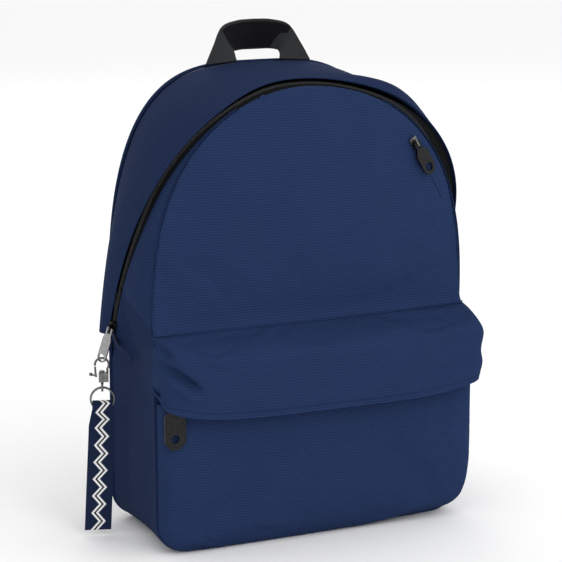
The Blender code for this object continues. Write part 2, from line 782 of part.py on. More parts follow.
# Gate: a lever that closes the mouth of the hook, with a thumb knob
GATE_PIN = (-0.0056, HOOK_BASE - 0.0020)
bm = bmesh.new()
gate_low = hook(-0.0052, HOOK_BASE - 0.0040)
tube(bm, [gate_low, hook(-0.0058, HOOK_BASE), hook(-0.0061, -HOOK_BOW - 0.0016)], GATE_WIRE)
gate = add("hook_gate", bm, SILVER, 0.25, 1.0, hook(*GATE_PIN))
bm = bmesh.new()
tube(bm, [hook(-0.0054, HOOK_BASE - 0.0030), hook(-0.0092, HOOK_BASE - 0.0018)], GATE_WIRE * 0.9)
cut(gate, bm, "UNION")
bm = bmesh.new()
bmesh.ops.create_uvsphere(bm, u_segments=10, v_segments=6, radius=GATE_KNOB,
                          matrix=Matrix.Translation(hook(-0.0100, HOOK_BASE - 0.0015)))
cut(gate, bm, "UNION")

# Swivel eye: a headed pin through the hook with a ring below it
SWIVEL_Z = HOOK_BASE - HOOK_BLOCK[2]
bm = bmesh.new()
rod(bm, SWIVEL_PIN, 0.0128, hook_frame @ Matrix.Translation((0, 0, SWIVEL_Z + 0.0039)))
eye = add("swivel_eye", bm, SILVER, 0.25, 1.0, hook(0, SWIVEL_Z))
bm = bmesh.new()
rod(bm, SWIVEL_HEAD, 0.0012, hook_frame @ Matrix.Translation((0, 0, HOOK_BASE + 0.0012)))
cut(eye, bm, "UNION")
EYE_Z = SWIVEL_Z - EYE_WIRE - EYE_RADIUS
bm = bmesh.new()
ring = []
for k in range(18):
    turn = 2 * math.pi * k / 18
    ring.append(hook(0.0, EYE_Z + EYE_RADIUS * math.cos(turn), EYE_RADIUS * math.sin(turn)))
tube(bm, ring, EYE_WIRE, closed=True)
cut(eye, bm, "UNION")

# Split ring: two turns of flat-laid wire in the hook's plane
RING_TOP = EYE_Z - EYE_RADIUS + EYE_WIRE + RING_WIRE + GAP
RING_Z = RING_TOP - RING_RADIUS
bm = bmesh.new()
wire = []
for k in range(61):
    turn = 4 * math.pi * k / 60 + math.pi
    rise = (k / 60 - 0.5) * (2 * RING_WIRE + GAP)
    wire.append(hook(RING_RADIUS * math.sin(turn), RING_Z + RING_RADIUS * math.cos(turn), rise))
tube(bm, wire, RING_WIRE / 2, 6)
RING_HANG = hook(0, RING_TOP)
add("split_ring", bm, SILVER, 0.3, 1.0, RING_HANG)

# Lanyard ribbon: folded through the ring, two layers sewn together below it
RIBBON_HANG = hook(0, RING_Z - RING_RADIUS)
RIBBON_TOP = RIBBON_HANG.z + RING_RADIUS * 0.92
SEAM_Z = RIBBON_HANG.z - RIBBON_SEAM


def ribbon_half(z):
    share = min(max((RIBBON_HANG.z - z) / RIBBON_SHOULDER + 0.2, 0.0), 1.0)
    share = share * share * (3 - 2 * share)
    return (RIBBON_NECK + (RIBBON_WIDE - RIBBON_NECK) * share) / 2


outer = [(-RIBBON_LAYER, SEAM_Z)]
inner = [(0.0, SEAM_Z + 0.0004)]
for share in (0.35, 0.75, 1.0):
    z = SEAM_Z + (RIBBON_HANG.z - SEAM_Z) * share
    half = RIBBON_LOOP * share
    outer.append((-half - RIBBON_LAYER, z))
    inner.append((-half, z))
OVER = RIBBON_LOOP + RIBBON_LAYER
for k in range(7):
    turn = math.pi - math.pi * k / 6
    centre = RIBBON_TOP - OVER
    outer.append((OVER * math.cos(turn), centre + OVER * math.sin(turn)))
    inner.append((RIBBON_LOOP * math.cos(turn), centre + RIBBON_LOOP * math.sin(turn)))
for share in (1.0, 0.75, 0.35):
    z = SEAM_Z + (RIBBON_HANG.z - SEAM_Z) * share
    half = RIBBON_LOOP * share
    outer.append((half + RIBBON_LAYER, z))
    inner.append((half, z))
outer.append((RIBBON_LAYER, SEAM_Z))
STEPS = spread(SEAM_Z, RIBBON_FOOT_Z, 6)[1:]


def ribbon_point(side, y, z):
    """Point of the ribbon, which leans a little to the side below the ring."""
    local = z - HOOK_TOP.z
    lean = min(z - RIBBON_HANG.z, 0.0) * math.tan(RIBBON_LEAN)
    return hook(side * ribbon_half(z) + lean, local, y)


bm = bmesh.new()
front_leg = [[bm.verts.new(ribbon_point(s, -RIBBON_LAYER, z)) for s in (-1, 1)] for z in STEPS]
rear_leg = [[bm.verts.new(ribbon_point(s, RIBBON_LAYER, z)) for s in (-1, 1)] for z in STEPS]
loop_out = [[bm.verts.new(ribbon_point(s, y, z)) for s in (-1, 1)] for y, z in outer]
loop_in = [[bm.verts.new(ribbon_point(s, y, z)) for s in (-1, 1)] for y, z in inner]
loop_in.append(loop_in[0])
around = front_leg[::-1] + loop_out + rear_leg
for low, high in zip(around, around[1:]):
    bm.faces.new((low[0], low[1], high[1], high[0]))
for low, high in zip(loop_in, loop_in[1:]):
    bm.faces.new((low[0], high[0], high[1], low[1]))
bm.faces.new((front_leg[-1][0], rear_leg[-1][0], rear_leg[-1][1], front_leg[-1][1]))
for s in (0, 1):
    for k in range(len(loop_out) - 1):
        corners = [loop_out[k][s], loop_out[k + 1][s], loop_in[k + 1][s], loop_in[k][s]]
        bm.faces.new(corners)
    bm.faces.new((loop_out[0][s], loop_in[0][s], loop_out[-1][s], rear_leg[0][s], front_leg[0][s]))
    for k in range(len(STEPS) - 1):
        bm.faces.new((front_leg[k][s], rear_leg[k][s], rear_leg[k + 1][s], front_leg[k + 1][s]))
add("lanyard_ribbon", bm, NAVY, 0.8, 0.0, RIBBON_HANG)

# Pocket slider at the left end of the pocket zip, with its pull hanging below the flap
pocket_place = Vector((POCKET_SLIDER_X, pocket_tape_y(POCKET_SLIDER_X), POCKET_ZIP_Z))
POCKET_ALONG = Vector((1, pocket_tape_y(1) - pocket_tape_y(0), 0)).normalized()
pocket_frame = frame_at(pocket_place, POCKET_ALONG, (0, -1, 0))
POCKET_BAR = slider("pocket_zip_slider", pocket_frame, -TAPE - SLIDER_PLAY, POCKET_STAND, GUNMETAL,
                    pocket_place, math.pi / 2)
wide, long, thick = POCKET_PULL
pull("pocket_zip_pull", hang(POCKET_BAR, POCKET_ALONG), POCKET_PULL, pointed_end(wide, long),
     POCKET_PULL_HOLE, wide / 2 - long, GUNMETAL, 0.35, POCKET_BAR)


# Concealed chest pocket: a slit in the upper front panel, its tape, slider, pull and inner pouch
def seam_x(z):
    """Half width of the upper front panel at a height."""
    rise = ((z - FOLD_Z) / (FRONT_TOP - FOLD_Z)) ** (ARCH_RISE / 2)
    return front_seam(math.asin(rise)).x


CHEST_TOP = (seam_x(CHEST_TOP_Z) - CHEST_TOP_INSET, CHEST_TOP_Z)
CHEST_LOW = (seam_x(CHEST_LOW_Z) - CHEST_LOW_INSET, CHEST_LOW_Z)
chest_top = upper_front_at(*CHEST_TOP)
chest_low = upper_front_at(*CHEST_LOW)
CHEST_ALONG = (chest_top - chest_low).normalized()
chest_side = upper_front_at(CHEST_TOP[0] + 0.01, CHEST_TOP[1] + 0.006) - chest_top
CHEST_OUT = CHEST_ALONG.cross(chest_side).normalized()
if CHEST_OUT.y > 0:
    CHEST_OUT = -CHEST_OUT
chest_frame = frame_at(chest_top, CHEST_ALONG, CHEST_OUT)
chest_middle = frame_at((chest_top + chest_low) / 2, CHEST_ALONG, CHEST_OUT)
CHEST_LONG = (chest_top - chest_low).length + SLIDER_LONG


def chest_slot():
    bm = bmesh.new()
    box(bm, (CHEST_SLOT, CHEST_LONG, 0.02), chest_middle)
    return bm


def behind_front(x, z, depth):
    """Point behind the upper front panel's outer face."""
    point = upper_front_at(x, z)
    return Vector((point.x, point.y + depth, point.z))


cut(upper, chest_slot())
tape_grid = []
CHEST_REACH = CHEST_LONG / 2 + CHEST_MARGIN
for along in spread(-CHEST_REACH, CHEST_REACH, 6):
    row = []
    for across in spread(-CHEST_TAPE_HALF, CHEST_TAPE_HALF, 4):
        flat = chest_middle @ Vector((across, along, 0))
        row.append(behind_front(flat.x, flat.z, FABRIC + 3 * GAP))
    tape_grid.append(row)
chest_tape = panel("chest_zip_tape", [tape_grid], BLACK, TAPE, away=(0, 0.05, 0.3), origin=FLAP_AXIS)
cut(chest_tape, chest_slot())
left, right, bottom, top = CHEST_POUCH
pouch = []
POUCH_REACH = [math.sin(math.pi / 2 * k / 5) for k in range(-5, 6)]
for v in POUCH_REACH:
    row = []
    for u in POUCH_REACH:
        z = (bottom + top) / 2 + (top - bottom) / 2 * v
        limit = seam_x(z) - CHEST_POUCH_INSET
        x = left + (min(right, limit) - left) * (u + 1) / 2
        deep = CHEST_POUCH_DEEP * (1 - u ** 14) * (1 - v ** 14)
        row.append(behind_front(x, z, FABRIC + 5 * GAP + 2 * TAPE + deep))
    pouch.append(row)
panel("chest_pocket_pouch", [pouch], GREY, TAPE, away=(0, -0.2, 0.3), origin=FLAP_AXIS)
CHEST_BAR = slider("chest_zip_slider", chest_frame, -FABRIC - 6 * GAP - TAPE, SLIDER_PLAY, GUNMETAL,
                   chest_top)
wide, long, thick = CHEST_PULL
chest_pull_frame = frame_at(CHEST_BAR, CHEST_ALONG, CHEST_OUT)
pull("chest_zip_pull", chest_pull_frame, CHEST_PULL, rounded_end(wide, long), CHEST_PULL_HOLE,
     wide / 2 - long, GUNMETAL, 0.3, CHEST_BAR)


# Grab handle: a webbing band sewn flat at its feet that twists round to stand across the top
def curve(points, count):
    """Smooth run through points, given as tuples."""
    knots = [Vector(p) for p in points]
    knots = [knots[0] * 2 - knots[1]] + knots + [knots[-1] * 2 - knots[-2]]
    run = []
    for k in range(1, len(knots) - 2):
        a, b, c, d = knots[k - 1:k + 3]
        for m in range(count):
            t = m / count
            run.append((b * 2 + (c - a) * t + (a * 2 - b * 5 + c * 4 - d) * t * t
                        + (b * 3 - a - c * 3 + d) * t ** 3) / 2)
    run.append(knots[-2])
    return run


def whole_band(points):
    half = curve(points, 4)
    whole = half + [Vector((-p.x, p.y, p.z)) for p in half[-2::-1]]
    return [p + Vector((HANDLE_X, 0, 0)) for p in whole]


front_band = whole_band([(-0.022, 0.044, 0.4214), (-0.028, 0.045, 0.436), (-0.030, 0.053, 0.4505),
                         (-0.018, 0.065, 0.4565), (0.0, 0.069, 0.4580)])
rear_band = whole_band([(-0.053, 0.044, 0.4200), (-0.047, 0.052, 0.4320), (-0.0370, 0.065, 0.4345),
                        (-0.020, 0.073, 0.4310), (0.0, 0.076, 0.4300)])
band = [[a, a.lerp(b, 0.5), b] for a, b in zip(front_band, rear_band)]
panel("grab_handle", [band], GREY, HANDLE_THICK, away=(0, 0.056, 0.43), origin=(0, *HANDLE_HINGE))


# Strap yoke across the upper back, and the lower tabs at the bottom corners
bm = bmesh.new()
wide, thick, tall = YOKE
box(bm, (wide, thick, tall), Matrix.Translation((0, BACK_FACE + GAP + thick / 2, YOKE_Z)))
add("strap_yoke", bm, NAVY_DARK)
TAB_TOP = BACK_FACE + GAP + TAB_THICK
for label, side in SIDES:
    bm = bmesh.new()
    corners = [(TAB_OUT, TAB_Z - TAB_WIDE / 2), (TAB_OUT, TAB_Z + TAB_WIDE / 2),
               (TAB_IN, TAB_Z + TAB_NARROW / 2), (TAB_IN, TAB_Z - TAB_NARROW / 2)]
    loft(bm, [[Vector((x * side, y, z)) for x, z in corners] for y in (BACK_FACE + GAP, TAB_TOP)])
    add("lower_strap_tab_" + label, bm, NAVY_DARK)

# Shoulder straps: padded band, adjuster and lower webbing, swinging about the line of their anchors
STRAP_TOP = Vector((STRAP_TOP_X, BACK_FACE + STRAP_TOP_STAND, 0.372))
STRAP_LOW = Vector((STRAP_LOW_X, TAB_TOP + STRAP_LOW_STAND, 0.056))


def strap_point(share, stand, z):
    """Point of a strap: share of the way across from its top to its foot, stand off the back, height."""
    return STRAP_TOP_X + (STRAP_LOW_X - STRAP_TOP_X) * share, BACK_FACE + stand, z


PAD_PATH = [strap_point(0.0, STRAP_TOP_STAND, 0.378), strap_point(0.06, 0.030, 0.354),
            strap_point(0.19, 0.050, 0.300), strap_point(0.37, 0.054, 0.235),
            strap_point(0.58, 0.043, 0.170), strap_point(0.72, 0.031, 0.130)]
WEB_PATH = [strap_point(0.675, 0.0270, 0.142), strap_point(0.76, 0.0185, 0.118),
            strap_point(0.89, 0.0120, 0.088), tuple(STRAP_LOW)]


def strap_axes(path, k):
    before = path[max(k - 1, 0)]
    after = path[min(k + 1, len(path) - 1)]
    along = (after - before).normalized()
    across = Vector((1, 0, 0))
    across = (across - along * across.dot(along)).normalized()
    return across, along.cross(across)


def strap(path, widths, thicks, sides):
    """Rings of a soft band along a path, each a flattened round."""
    rings = []
    last = len(path) - 1
    for k, point in enumerate(path):
        across, up = strap_axes(path, k)
        share = k / last * (len(widths) - 1)
        low = min(int(share), len(widths) - 2)
        mix = share - low
        wide = widths[low] + (widths[low + 1] - widths[low]) * mix
        thick = thicks[low] + (thicks[low + 1] - thicks[low]) * mix
        ring = []
        for m in range(sides):
            turn = 2 * math.pi * (m + 0.5) / sides
            x = math.copysign(abs(math.cos(turn)) ** 0.45, math.cos(turn)) * wide / 2
            y = math.copysign(abs(math.sin(turn)) ** 0.6, math.sin(turn)) * thick / 2
            ring.append(point + across * x + up * y)
        rings.append(ring)
    return rings


for label, side in SIDES:
    anchor = Vector((STRAP_TOP.x * side, STRAP_TOP.y, STRAP_TOP.z))
    pad = [Vector((p.x * side, p.y, p.z)) for p in curve(PAD_PATH, 4)]
    bm = bmesh.new()
    loft(bm, strap(pad, [0.036, 0.054, STRAP_WIDE, STRAP_WIDE, 0.052, 0.040],
                   [0.006, 0.011, STRAP_THICK, STRAP_THICK, 0.012, 0.006], 12))
    add("shoulder_strap_" + label, bm, NAVY_DARK, origin=anchor)
    web = [Vector((p.x * side, p.y, p.z)) for p in curve(WEB_PATH, 4)]
    bm = bmesh.new()
    rings = []
    for k, point in enumerate(web):
        across, up = strap_axes(web, k)
        rings.append([point + across * x * WEBBING_WIDE / 2 + up * y * WEBBING_THICK / 2
                      for x, y in ((-1, -1), (1, -1), (1, 1), (-1, 1))])
    loft(bm, rings)
    add("strap_webbing_" + label, bm, GREY, origin=anchor)
    across, up = strap_axes(pad, len(pad) - 1)
    down = (pad[-1] - pad[-2]).normalized()
    lock = frame_at(pad[-1] + down * ADJUSTER_AT, down, up)
    bm = bmesh.new()
    box(bm, ADJUSTER, lock)
    node = add("strap_adjuster_" + label, bm, BLACK, 0.5, 0.0, anchor)
    slot_wide, slot_long = ADJUSTER_SLOT
    for y in (-1.1 * slot_long, 1.1 * slot_long):
        bm = bmesh.new()
        box(bm, (slot_wide, slot_long, 4 * ADJUSTER[2]), lock @ Matrix.Translation((0, y, 0)))
        cut(node, bm)
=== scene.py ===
"""Dressed school backpack: ribbed navy canvas, zips, metal lanyard, padded back and straps.

Metres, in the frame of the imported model: +Z up, the front faces -Y and the bag stands on z = 0.
"""
import json
import math

import bmesh
import bpy
import numpy as np
from mathutils import Matrix, Vector


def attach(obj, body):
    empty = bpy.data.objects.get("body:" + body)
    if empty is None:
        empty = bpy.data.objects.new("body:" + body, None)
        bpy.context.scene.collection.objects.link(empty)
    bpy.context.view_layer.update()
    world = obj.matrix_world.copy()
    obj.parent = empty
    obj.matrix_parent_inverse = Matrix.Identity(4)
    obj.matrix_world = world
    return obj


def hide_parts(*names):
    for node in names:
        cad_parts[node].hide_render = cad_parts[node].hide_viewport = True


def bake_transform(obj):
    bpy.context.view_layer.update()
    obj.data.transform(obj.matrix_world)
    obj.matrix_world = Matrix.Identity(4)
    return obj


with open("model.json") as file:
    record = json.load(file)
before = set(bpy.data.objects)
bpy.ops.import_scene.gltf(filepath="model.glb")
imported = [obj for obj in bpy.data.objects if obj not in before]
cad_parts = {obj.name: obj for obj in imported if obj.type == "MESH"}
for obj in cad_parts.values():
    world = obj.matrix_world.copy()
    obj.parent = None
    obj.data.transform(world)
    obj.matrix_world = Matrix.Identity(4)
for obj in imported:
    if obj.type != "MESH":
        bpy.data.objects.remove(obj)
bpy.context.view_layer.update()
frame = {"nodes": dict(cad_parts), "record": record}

# Stage: a pale paper floor that runs to the horizon, three soft lamps and an even white sky.
# The camera stands to the front left, a little above the bag, with a long lens.
AIM = Vector((0.0, 0.0, 0.207))
DISTANCE = 1.921
AZIMUTH = math.radians(-26.78)
ELEVATION = math.radians(12.26)
scene = bpy.context.scene
scene.view_settings.view_transform = "Standard"
behind = Vector((math.sin(AZIMUTH) * math.cos(ELEVATION), -math.cos(AZIMUTH) * math.cos(ELEVATION),
                 math.sin(ELEVATION)))
camera = bpy.data.objects.new("camera", bpy.data.cameras.new("camera"))
camera.location = AIM + behind * DISTANCE
camera.rotation_euler = behind.to_track_quat("Z", "Y").to_euler()
camera.data.lens = 133.4
camera.data.shift_x = -0.0048
camera.data.shift_y = 0.0297
scene.collection.objects.link(camera)
scene.camera = camera


def lamp(name, place, size, power):
    """A square soft lamp that faces the middle of the bag."""
    light = bpy.data.lights.new(name, "AREA")
    light.size = size
    light.energy = power
    item = bpy.data.objects.new(name, light)
    item.location = place
    item.rotation_euler = (Vector(place) - AIM).to_track_quat("Z", "Y").to_euler()
    scene.collection.objects.link(item)


lamp("key_lamp", (0.5, -2.8, 2.0), size=1.8, power=24)
lamp("fill_lamp", (2.4, -1.6, 1.6), size=2.0, power=12)
lamp("back_lamp", (0.6, 2.6, 2.2), size=2.0, power=10)
sky = bpy.data.worlds.new("sky")
sky.use_nodes = True
background = sky.node_tree.nodes["Background"]
background.inputs["Color"].default_value = (1.0, 1.0, 1.0, 1)
background.inputs["Strength"].default_value = 1.0
scene.world = sky

FLOOR_HALF = 30.0
FLOOR_DROP = 0.0005
floor_mesh = bpy.data.meshes.new("floor")
floor_mesh.from_pydata([(-FLOOR_HALF, -FLOOR_HALF, 0), (FLOOR_HALF, -FLOOR_HALF, 0),
                        (FLOOR_HALF, FLOOR_HALF, 0), (-FLOOR_HALF, FLOOR_HALF, 0)], [], [(0, 1, 2, 3)])
floor = bpy.data.objects.new("floor", floor_mesh)
scene.collection.objects.link(floor)
floor.location.z = -FLOOR_DROP
paper = bpy.data.materials.new("pale_paper")
paper.use_nodes = True
paper_shader = paper.node_tree.nodes["Principled BSDF"]
paper_shader.inputs["Base Color"].default_value = (0.93, 0.93, 0.93, 1)
paper_shader.inputs["Roughness"].default_value = 0.9
floor_mesh.materials.append(paper)


# Rear gusset: one long band of ribbed navy canvas over the top of the bag, sewn to the back panel.
# Its front edge is the lip behind the main zip, where the hem turns under into a soft rounded edge.
# The stuffed right shoulder stands out further than the left one.
GAP = 0.0003
ARCH_RISE = 2.7
BACK_Y = 0.054
BACK_HALF = 0.1495
BACK_TOP = 0.420
BACK_TURN = 3.4
ZIP_END_Z = 0.186
ZIP_END_Y = 0.018
ZIP_SHOULDER_Y = -0.050
ZIP_CROWN_Y = -0.030
ZIP_SHOULDER = math.radians(57)
ZIP_HALF = 0.168
ZIP_TOP = 0.413
ZIP_TURN = 2.13
RIGHT_FLARE = 0.0125
RIGHT_PEAK = math.radians(24)
FLARE_BELOW = math.radians(20)
FLARE_ABOVE = math.radians(27)
FLARE_START = math.radians(12)
RIGHT_ROLL = 0.0085
ROLL_PEAK = math.radians(60)
ROLL_REACH = math.radians(15)
ROLL_SHARE = 0.86
ROLL_WIDE = 0.13
GUSSET_BULGE = 0.010
CROWN_FLATTER = 0.65
GUSSET_STEPS = 40
GUSSET_SAG = 0.0012
SAG_WAVES = 9
GUSSET_THICK = 0.0012
SEAM_SINK = 0.0016
SEAM_SINK_NEXT = 0.0006
HEM = 0.006
HEM_TURN = 0.0018
LIP_FORWARD = 0.0004
ARCH_CROWD = 1.3


def arch(half, base, top, turn, angle):
    """Width and height on an arch of the bag, from its right foot at 0 to its left foot at pi."""
    side = math.cos(angle)
    x = half * math.copysign(abs(side) ** (2 / turn), side)
    z = base + (top - base) * max(math.sin(angle), 0.0) ** (2 / ARCH_RISE)
    return x, z


def arch_angles(start, count):
    """Angles over the whole arch, closer together at the two ends where the arch climbs fastest."""
    half = [start + (math.pi / 2 - start) * (k / count) ** ARCH_CROWD for k in range(count + 1)]
    return half + [math.pi - angle for angle in half[-2::-1]]


def spread(start, end, count):
    return [start + (end - start) * k / count for k in range(count + 1)]


def smooth(low, high, value):
    share = min(max((value - low) / (high - low), 0.0), 1.0)
    return share * share * (3 - 2 * share)


def zip_depth(angle):
    """How far forward the zip runs: back at its ends, furthest out at the shoulders."""
    rise = min(angle, math.pi - angle)
    if rise < ZIP_SHOULDER:
        ease = max(math.sin(math.pi / 2 * rise / ZIP_SHOULDER), 0.0) ** (2 / ARCH_RISE)
        return ZIP_END_Y + (ZIP_SHOULDER_Y - ZIP_END_Y) * ease
    ease = math.sin(math.pi / 2 * (rise - ZIP_SHOULDER) / (math.pi / 2 - ZIP_SHOULDER)) ** 2
    return ZIP_SHOULDER_Y + (ZIP_CROWN_Y - ZIP_SHOULDER_Y) * ease


def back_seam(angle):
    x, z = arch(BACK_HALF, ZIP_END_Z, BACK_TOP, BACK_TURN, angle)
    return Vector((x, BACK_Y - GAP, z))


def zip_lip(angle):
    """Rear edge of the zip, which is the front edge of the gusset."""
    x, z = arch(ZIP_HALF, ZIP_END_Z, ZIP_TOP, ZIP_TURN, angle)
    reach = (angle - RIGHT_PEAK) / (FLARE_BELOW if angle < RIGHT_PEAK else FLARE_ABOVE)
    flare = RIGHT_FLARE * math.exp(-reach * reach) * smooth(0.0, FLARE_START, angle)
    return Vector((x + flare * math.cos(angle), zip_depth(angle), z + flare * math.sin(angle)))


def gusset_point(angle, share):
    point = back_seam(angle).lerp(zip_lip(angle), share)
    bulge = GUSSET_BULGE * (1 - CROWN_FLATTER * math.sin(angle)) * math.sin(math.pi * share)
    shoulder = math.exp(-((angle - ROLL_PEAK) / ROLL_REACH) ** 2)
    bulge += RIGHT_ROLL * shoulder * math.exp(-((share - ROLL_SHARE) / ROLL_WIDE) ** 2)
    return point + Vector((math.cos(angle), 0, math.sin(angle))) * bulge


def gusset_row(angle):
    """Points across the gusset, from the back seam to the lip and on round the turned hem."""
    outward = Vector((math.cos(angle), 0, math.sin(angle)))
    row = [gusset_point(angle, share) for share in spread(0.0, 1.0, GUSSET_STEPS)]
    sag = GUSSET_SAG * math.sin(SAG_WAVES * angle) * math.sin(2 * angle) ** 2
    row = [p + outward * sag * math.sin(math.pi * k / GUSSET_STEPS) for k, p in enumerate(row)]
    row[0] -= outward * SEAM_SINK
    row[1] -= outward * SEAM_SINK_NEXT
    inward = -outward * HEM_TURN
    lip = row[-1]
    return row + [lip + inward * 0.5 + Vector((0, -LIP_FORWARD, 0)),
                  lip + inward + Vector((0, HEM / 2, 0)),
                  lip + inward + Vector((0, HEM, 0))]


NAVY_DARK = (0.0112, 0.0212, 0.0600)
RIB_PITCH = 0.0024
# Painted shade: how far the colour darkens in the grooves between ribs and lightens on their ridges.
PAINTED_RIB_SHADE = 0.30
RIB_RELIEF = 0.0004
RIB_WANDER = 0.0012
WANDER_SCALE = 60.0
THREAD_SHARE = 0.37
SLUB_SCALE = 1400.0
SLUB_SHADE = 0.22
TONE_SCALE = 16.0
TONE_SHADE = 0.16
CLOTH_ROUGH = 0.70
SLUB_ROUGH = 0.16
RIB_HEIGHT = 0.75
THREAD_HEIGHT = 0.2
SLUB_HEIGHT = 0.25
CLOTH_BUMP = 0.55
CLOTH_GLOSS = 0.03


def node(tree, kind, **values):
    """Add a shader node, set its plain properties and link or set its numbered inputs."""
    item = tree.nodes.new(kind)
    for key, value in values.items():
        if not key.startswith("in"):
            setattr(item, key, value)
    for key, value in values.items():
        if key.startswith("in"):
            socket = item.inputs[int(key[2:])]
            if isinstance(value, bpy.types.NodeSocket):
                tree.links.new(value, socket)
            else:
                socket.default_value = value
    return item.outputs[0]


def maths(tree, operation, first, second=0.0):
    return node(tree, "ShaderNodeMath", operation=operation, in0=first, in1=second)


def noise(tree, place, scale, detail):
    return node(tree, "ShaderNodeTexNoise", in0=place, in2=scale, in3=detail)


def swing_about(tree, value, size):
    """A value from 0 to 1 as a swing of the given size about 0."""
    return maths(tree, "MULTIPLY", maths(tree, "SUBTRACT", value, 0.5), size)


def wave(tree, value, pitch):
    """A smooth wave of the given pitch along a length."""
    turn = maths(tree, "DIVIDE", value, pitch)
    turn = maths(tree, "MULTIPLY", turn, 2 * math.pi)
    turn = maths(tree, "SINE", turn)
    return maths(tree, "MULTIPLY_ADD", turn, 0.5)


def new_group(name, inputs, outputs):
    group = bpy.data.node_groups.new(name, "ShaderNodeTree")
    for label, kind in inputs:
        group.interface.new_socket(label, in_out="INPUT", socket_type=kind)
    for label, kind in outputs:
        group.interface.new_socket(label, in_out="OUTPUT", socket_type=kind)
    return group, group.nodes.new("NodeGroupInput"), group.nodes.new("NodeGroupOutput")


def make_weave():
    """Node group: cloth colour, roughness and height from a rib, cross threads and slubs, with painted shade
    in the rib's grooves.
    """
    group, given, out = new_group(
        "ribbed_weave",
        [("Colour", "NodeSocketColor"), ("Rib pitch", "NodeSocketFloat"), ("Rib shade", "NodeSocketFloat")],
        [("Colour", "NodeSocketColor"), ("Roughness", "NodeSocketFloat"), ("Height", "NodeSocketFloat")])
    uv = node(group, "ShaderNodeUVMap", uv_map="cloth")
    parts = group.nodes.new("ShaderNodeSeparateXYZ")
    group.links.new(uv, parts.inputs[0])
    pitch = given.outputs["Rib pitch"]
    wander = swing_about(group, noise(group, uv, WANDER_SCALE, detail=1.0), RIB_WANDER)
    rib = wave(group, maths(group, "ADD", parts.outputs["Y"], wander), pitch)
    thread = wave(group, parts.outputs["X"], maths(group, "MULTIPLY", pitch, THREAD_SHARE))
    slub = noise(group, uv, SLUB_SCALE, detail=2.0)
    tone = noise(group, uv, TONE_SCALE, detail=3.0)
    # Painted shade: the rib darkens the colour in its grooves and lightens it on its ridges, in step with its
    # height; the slubs and the tone are the yarn's own colour.
    shade = swing_about(group, rib, given.outputs["Rib shade"])
    shade = maths(group, "ADD", shade, swing_about(group, slub, SLUB_SHADE))
    shade = maths(group, "ADD", shade, swing_about(group, tone, TONE_SHADE))
    shade = maths(group, "ADD", shade, 1.0)
    tinted = group.nodes.new("ShaderNodeVectorMath")
    tinted.operation = "SCALE"
    group.links.new(given.outputs["Colour"], tinted.inputs[0])
    group.links.new(shade, tinted.inputs["Scale"])
    group.links.new(tinted.outputs[0], out.inputs["Colour"])
    rough = maths(group, "ADD", maths(group, "MULTIPLY", slub, SLUB_ROUGH), CLOTH_ROUGH)
    group.links.new(rough, out.inputs["Roughness"])
    relief = maths(group, "ADD", maths(group, "MULTIPLY", rib, RIB_HEIGHT),
                   maths(group, "MULTIPLY", thread, THREAD_HEIGHT))
    relief = maths(group, "ADD", relief, maths(group, "MULTIPLY", slub, SLUB_HEIGHT))
    group.links.new(relief, out.inputs["Height"])
    return group


def group_finish(name, group, values, strength, relief):
    """Material whose colour, roughness and bump come from a node group with values of its own."""
    material = bpy.data.materials.new(name)
    material.use_nodes = True
    tree = material.node_tree
    shader = tree.nodes["Principled BSDF"]
    effect = tree.nodes.new("ShaderNodeGroup")
    effect.node_tree = group
    for label, value in values.items():
        effect.inputs[label].default_value = value
    tree.links.new(effect.outputs["Colour"], shader.inputs["Base Color"])
    tree.links.new(effect.outputs["Roughness"], shader.inputs["Roughness"])
    bump = tree.nodes.new("ShaderNodeBump")
    bump.inputs["Strength"].default_value = strength
    bump.inputs["Distance"].default_value = relief
    tree.links.new(effect.outputs["Height"], bump.inputs["Height"])
    tree.links.new(bump.outputs["Normal"], shader.inputs["Normal"])
    return material, shader, effect


WEAVE = make_weave()


def cloth_finish(name, colour, pitch=RIB_PITCH, shade=PAINTED_RIB_SHADE, relief=RIB_RELIEF):
    """Fabric: the weave lies in the cloth's own UV, in metres, so it follows a panel that moves."""
    # shade sets the painted shade in the rib grooves.
    values = {"Colour": (*colour, 1), "Rib pitch": pitch, "Rib shade": shade}
    material, shader = group_finish(name, WEAVE, values, CLOTH_BUMP, relief)[:2]
    shader.inputs["Specular IOR Level"].default_value = CLOTH_GLOSS
    return material


SIDE_CANVAS = cloth_finish("navy_side_canvas", NAVY_DARK)
FABRIC = 0.0014
SHARP_EDGE = math.radians(50)


def link(name, mesh, material):
    item = bpy.data.objects.new(name, mesh)
    scene.collection.objects.link(item)
    mesh.materials.clear()
    mesh.materials.append(material)
    return item


def settle(item):
    """Apply the modifiers of a piece and shade it smooth apart from its real edges."""
    graph = bpy.context.evaluated_depsgraph_get()
    mesh = bpy.data.meshes.new_from_object(item.evaluated_get(graph))
    item.modifiers.clear()
    item.data = mesh
    mesh.shade_smooth()
    mesh.set_sharp_from_angle(angle=SHARP_EDGE)


def grid_area(points):
    """Area of a grid of points, from its triangles."""
    a, b, c, d = points[:-1, :-1], points[:-1, 1:], points[1:, 1:], points[1:, :-1]
    halves = np.linalg.norm(np.cross(b - a, c - a), axis=2) + np.linalg.norm(np.cross(c - a, d - a), axis=2)
    return halves.sum() / 2


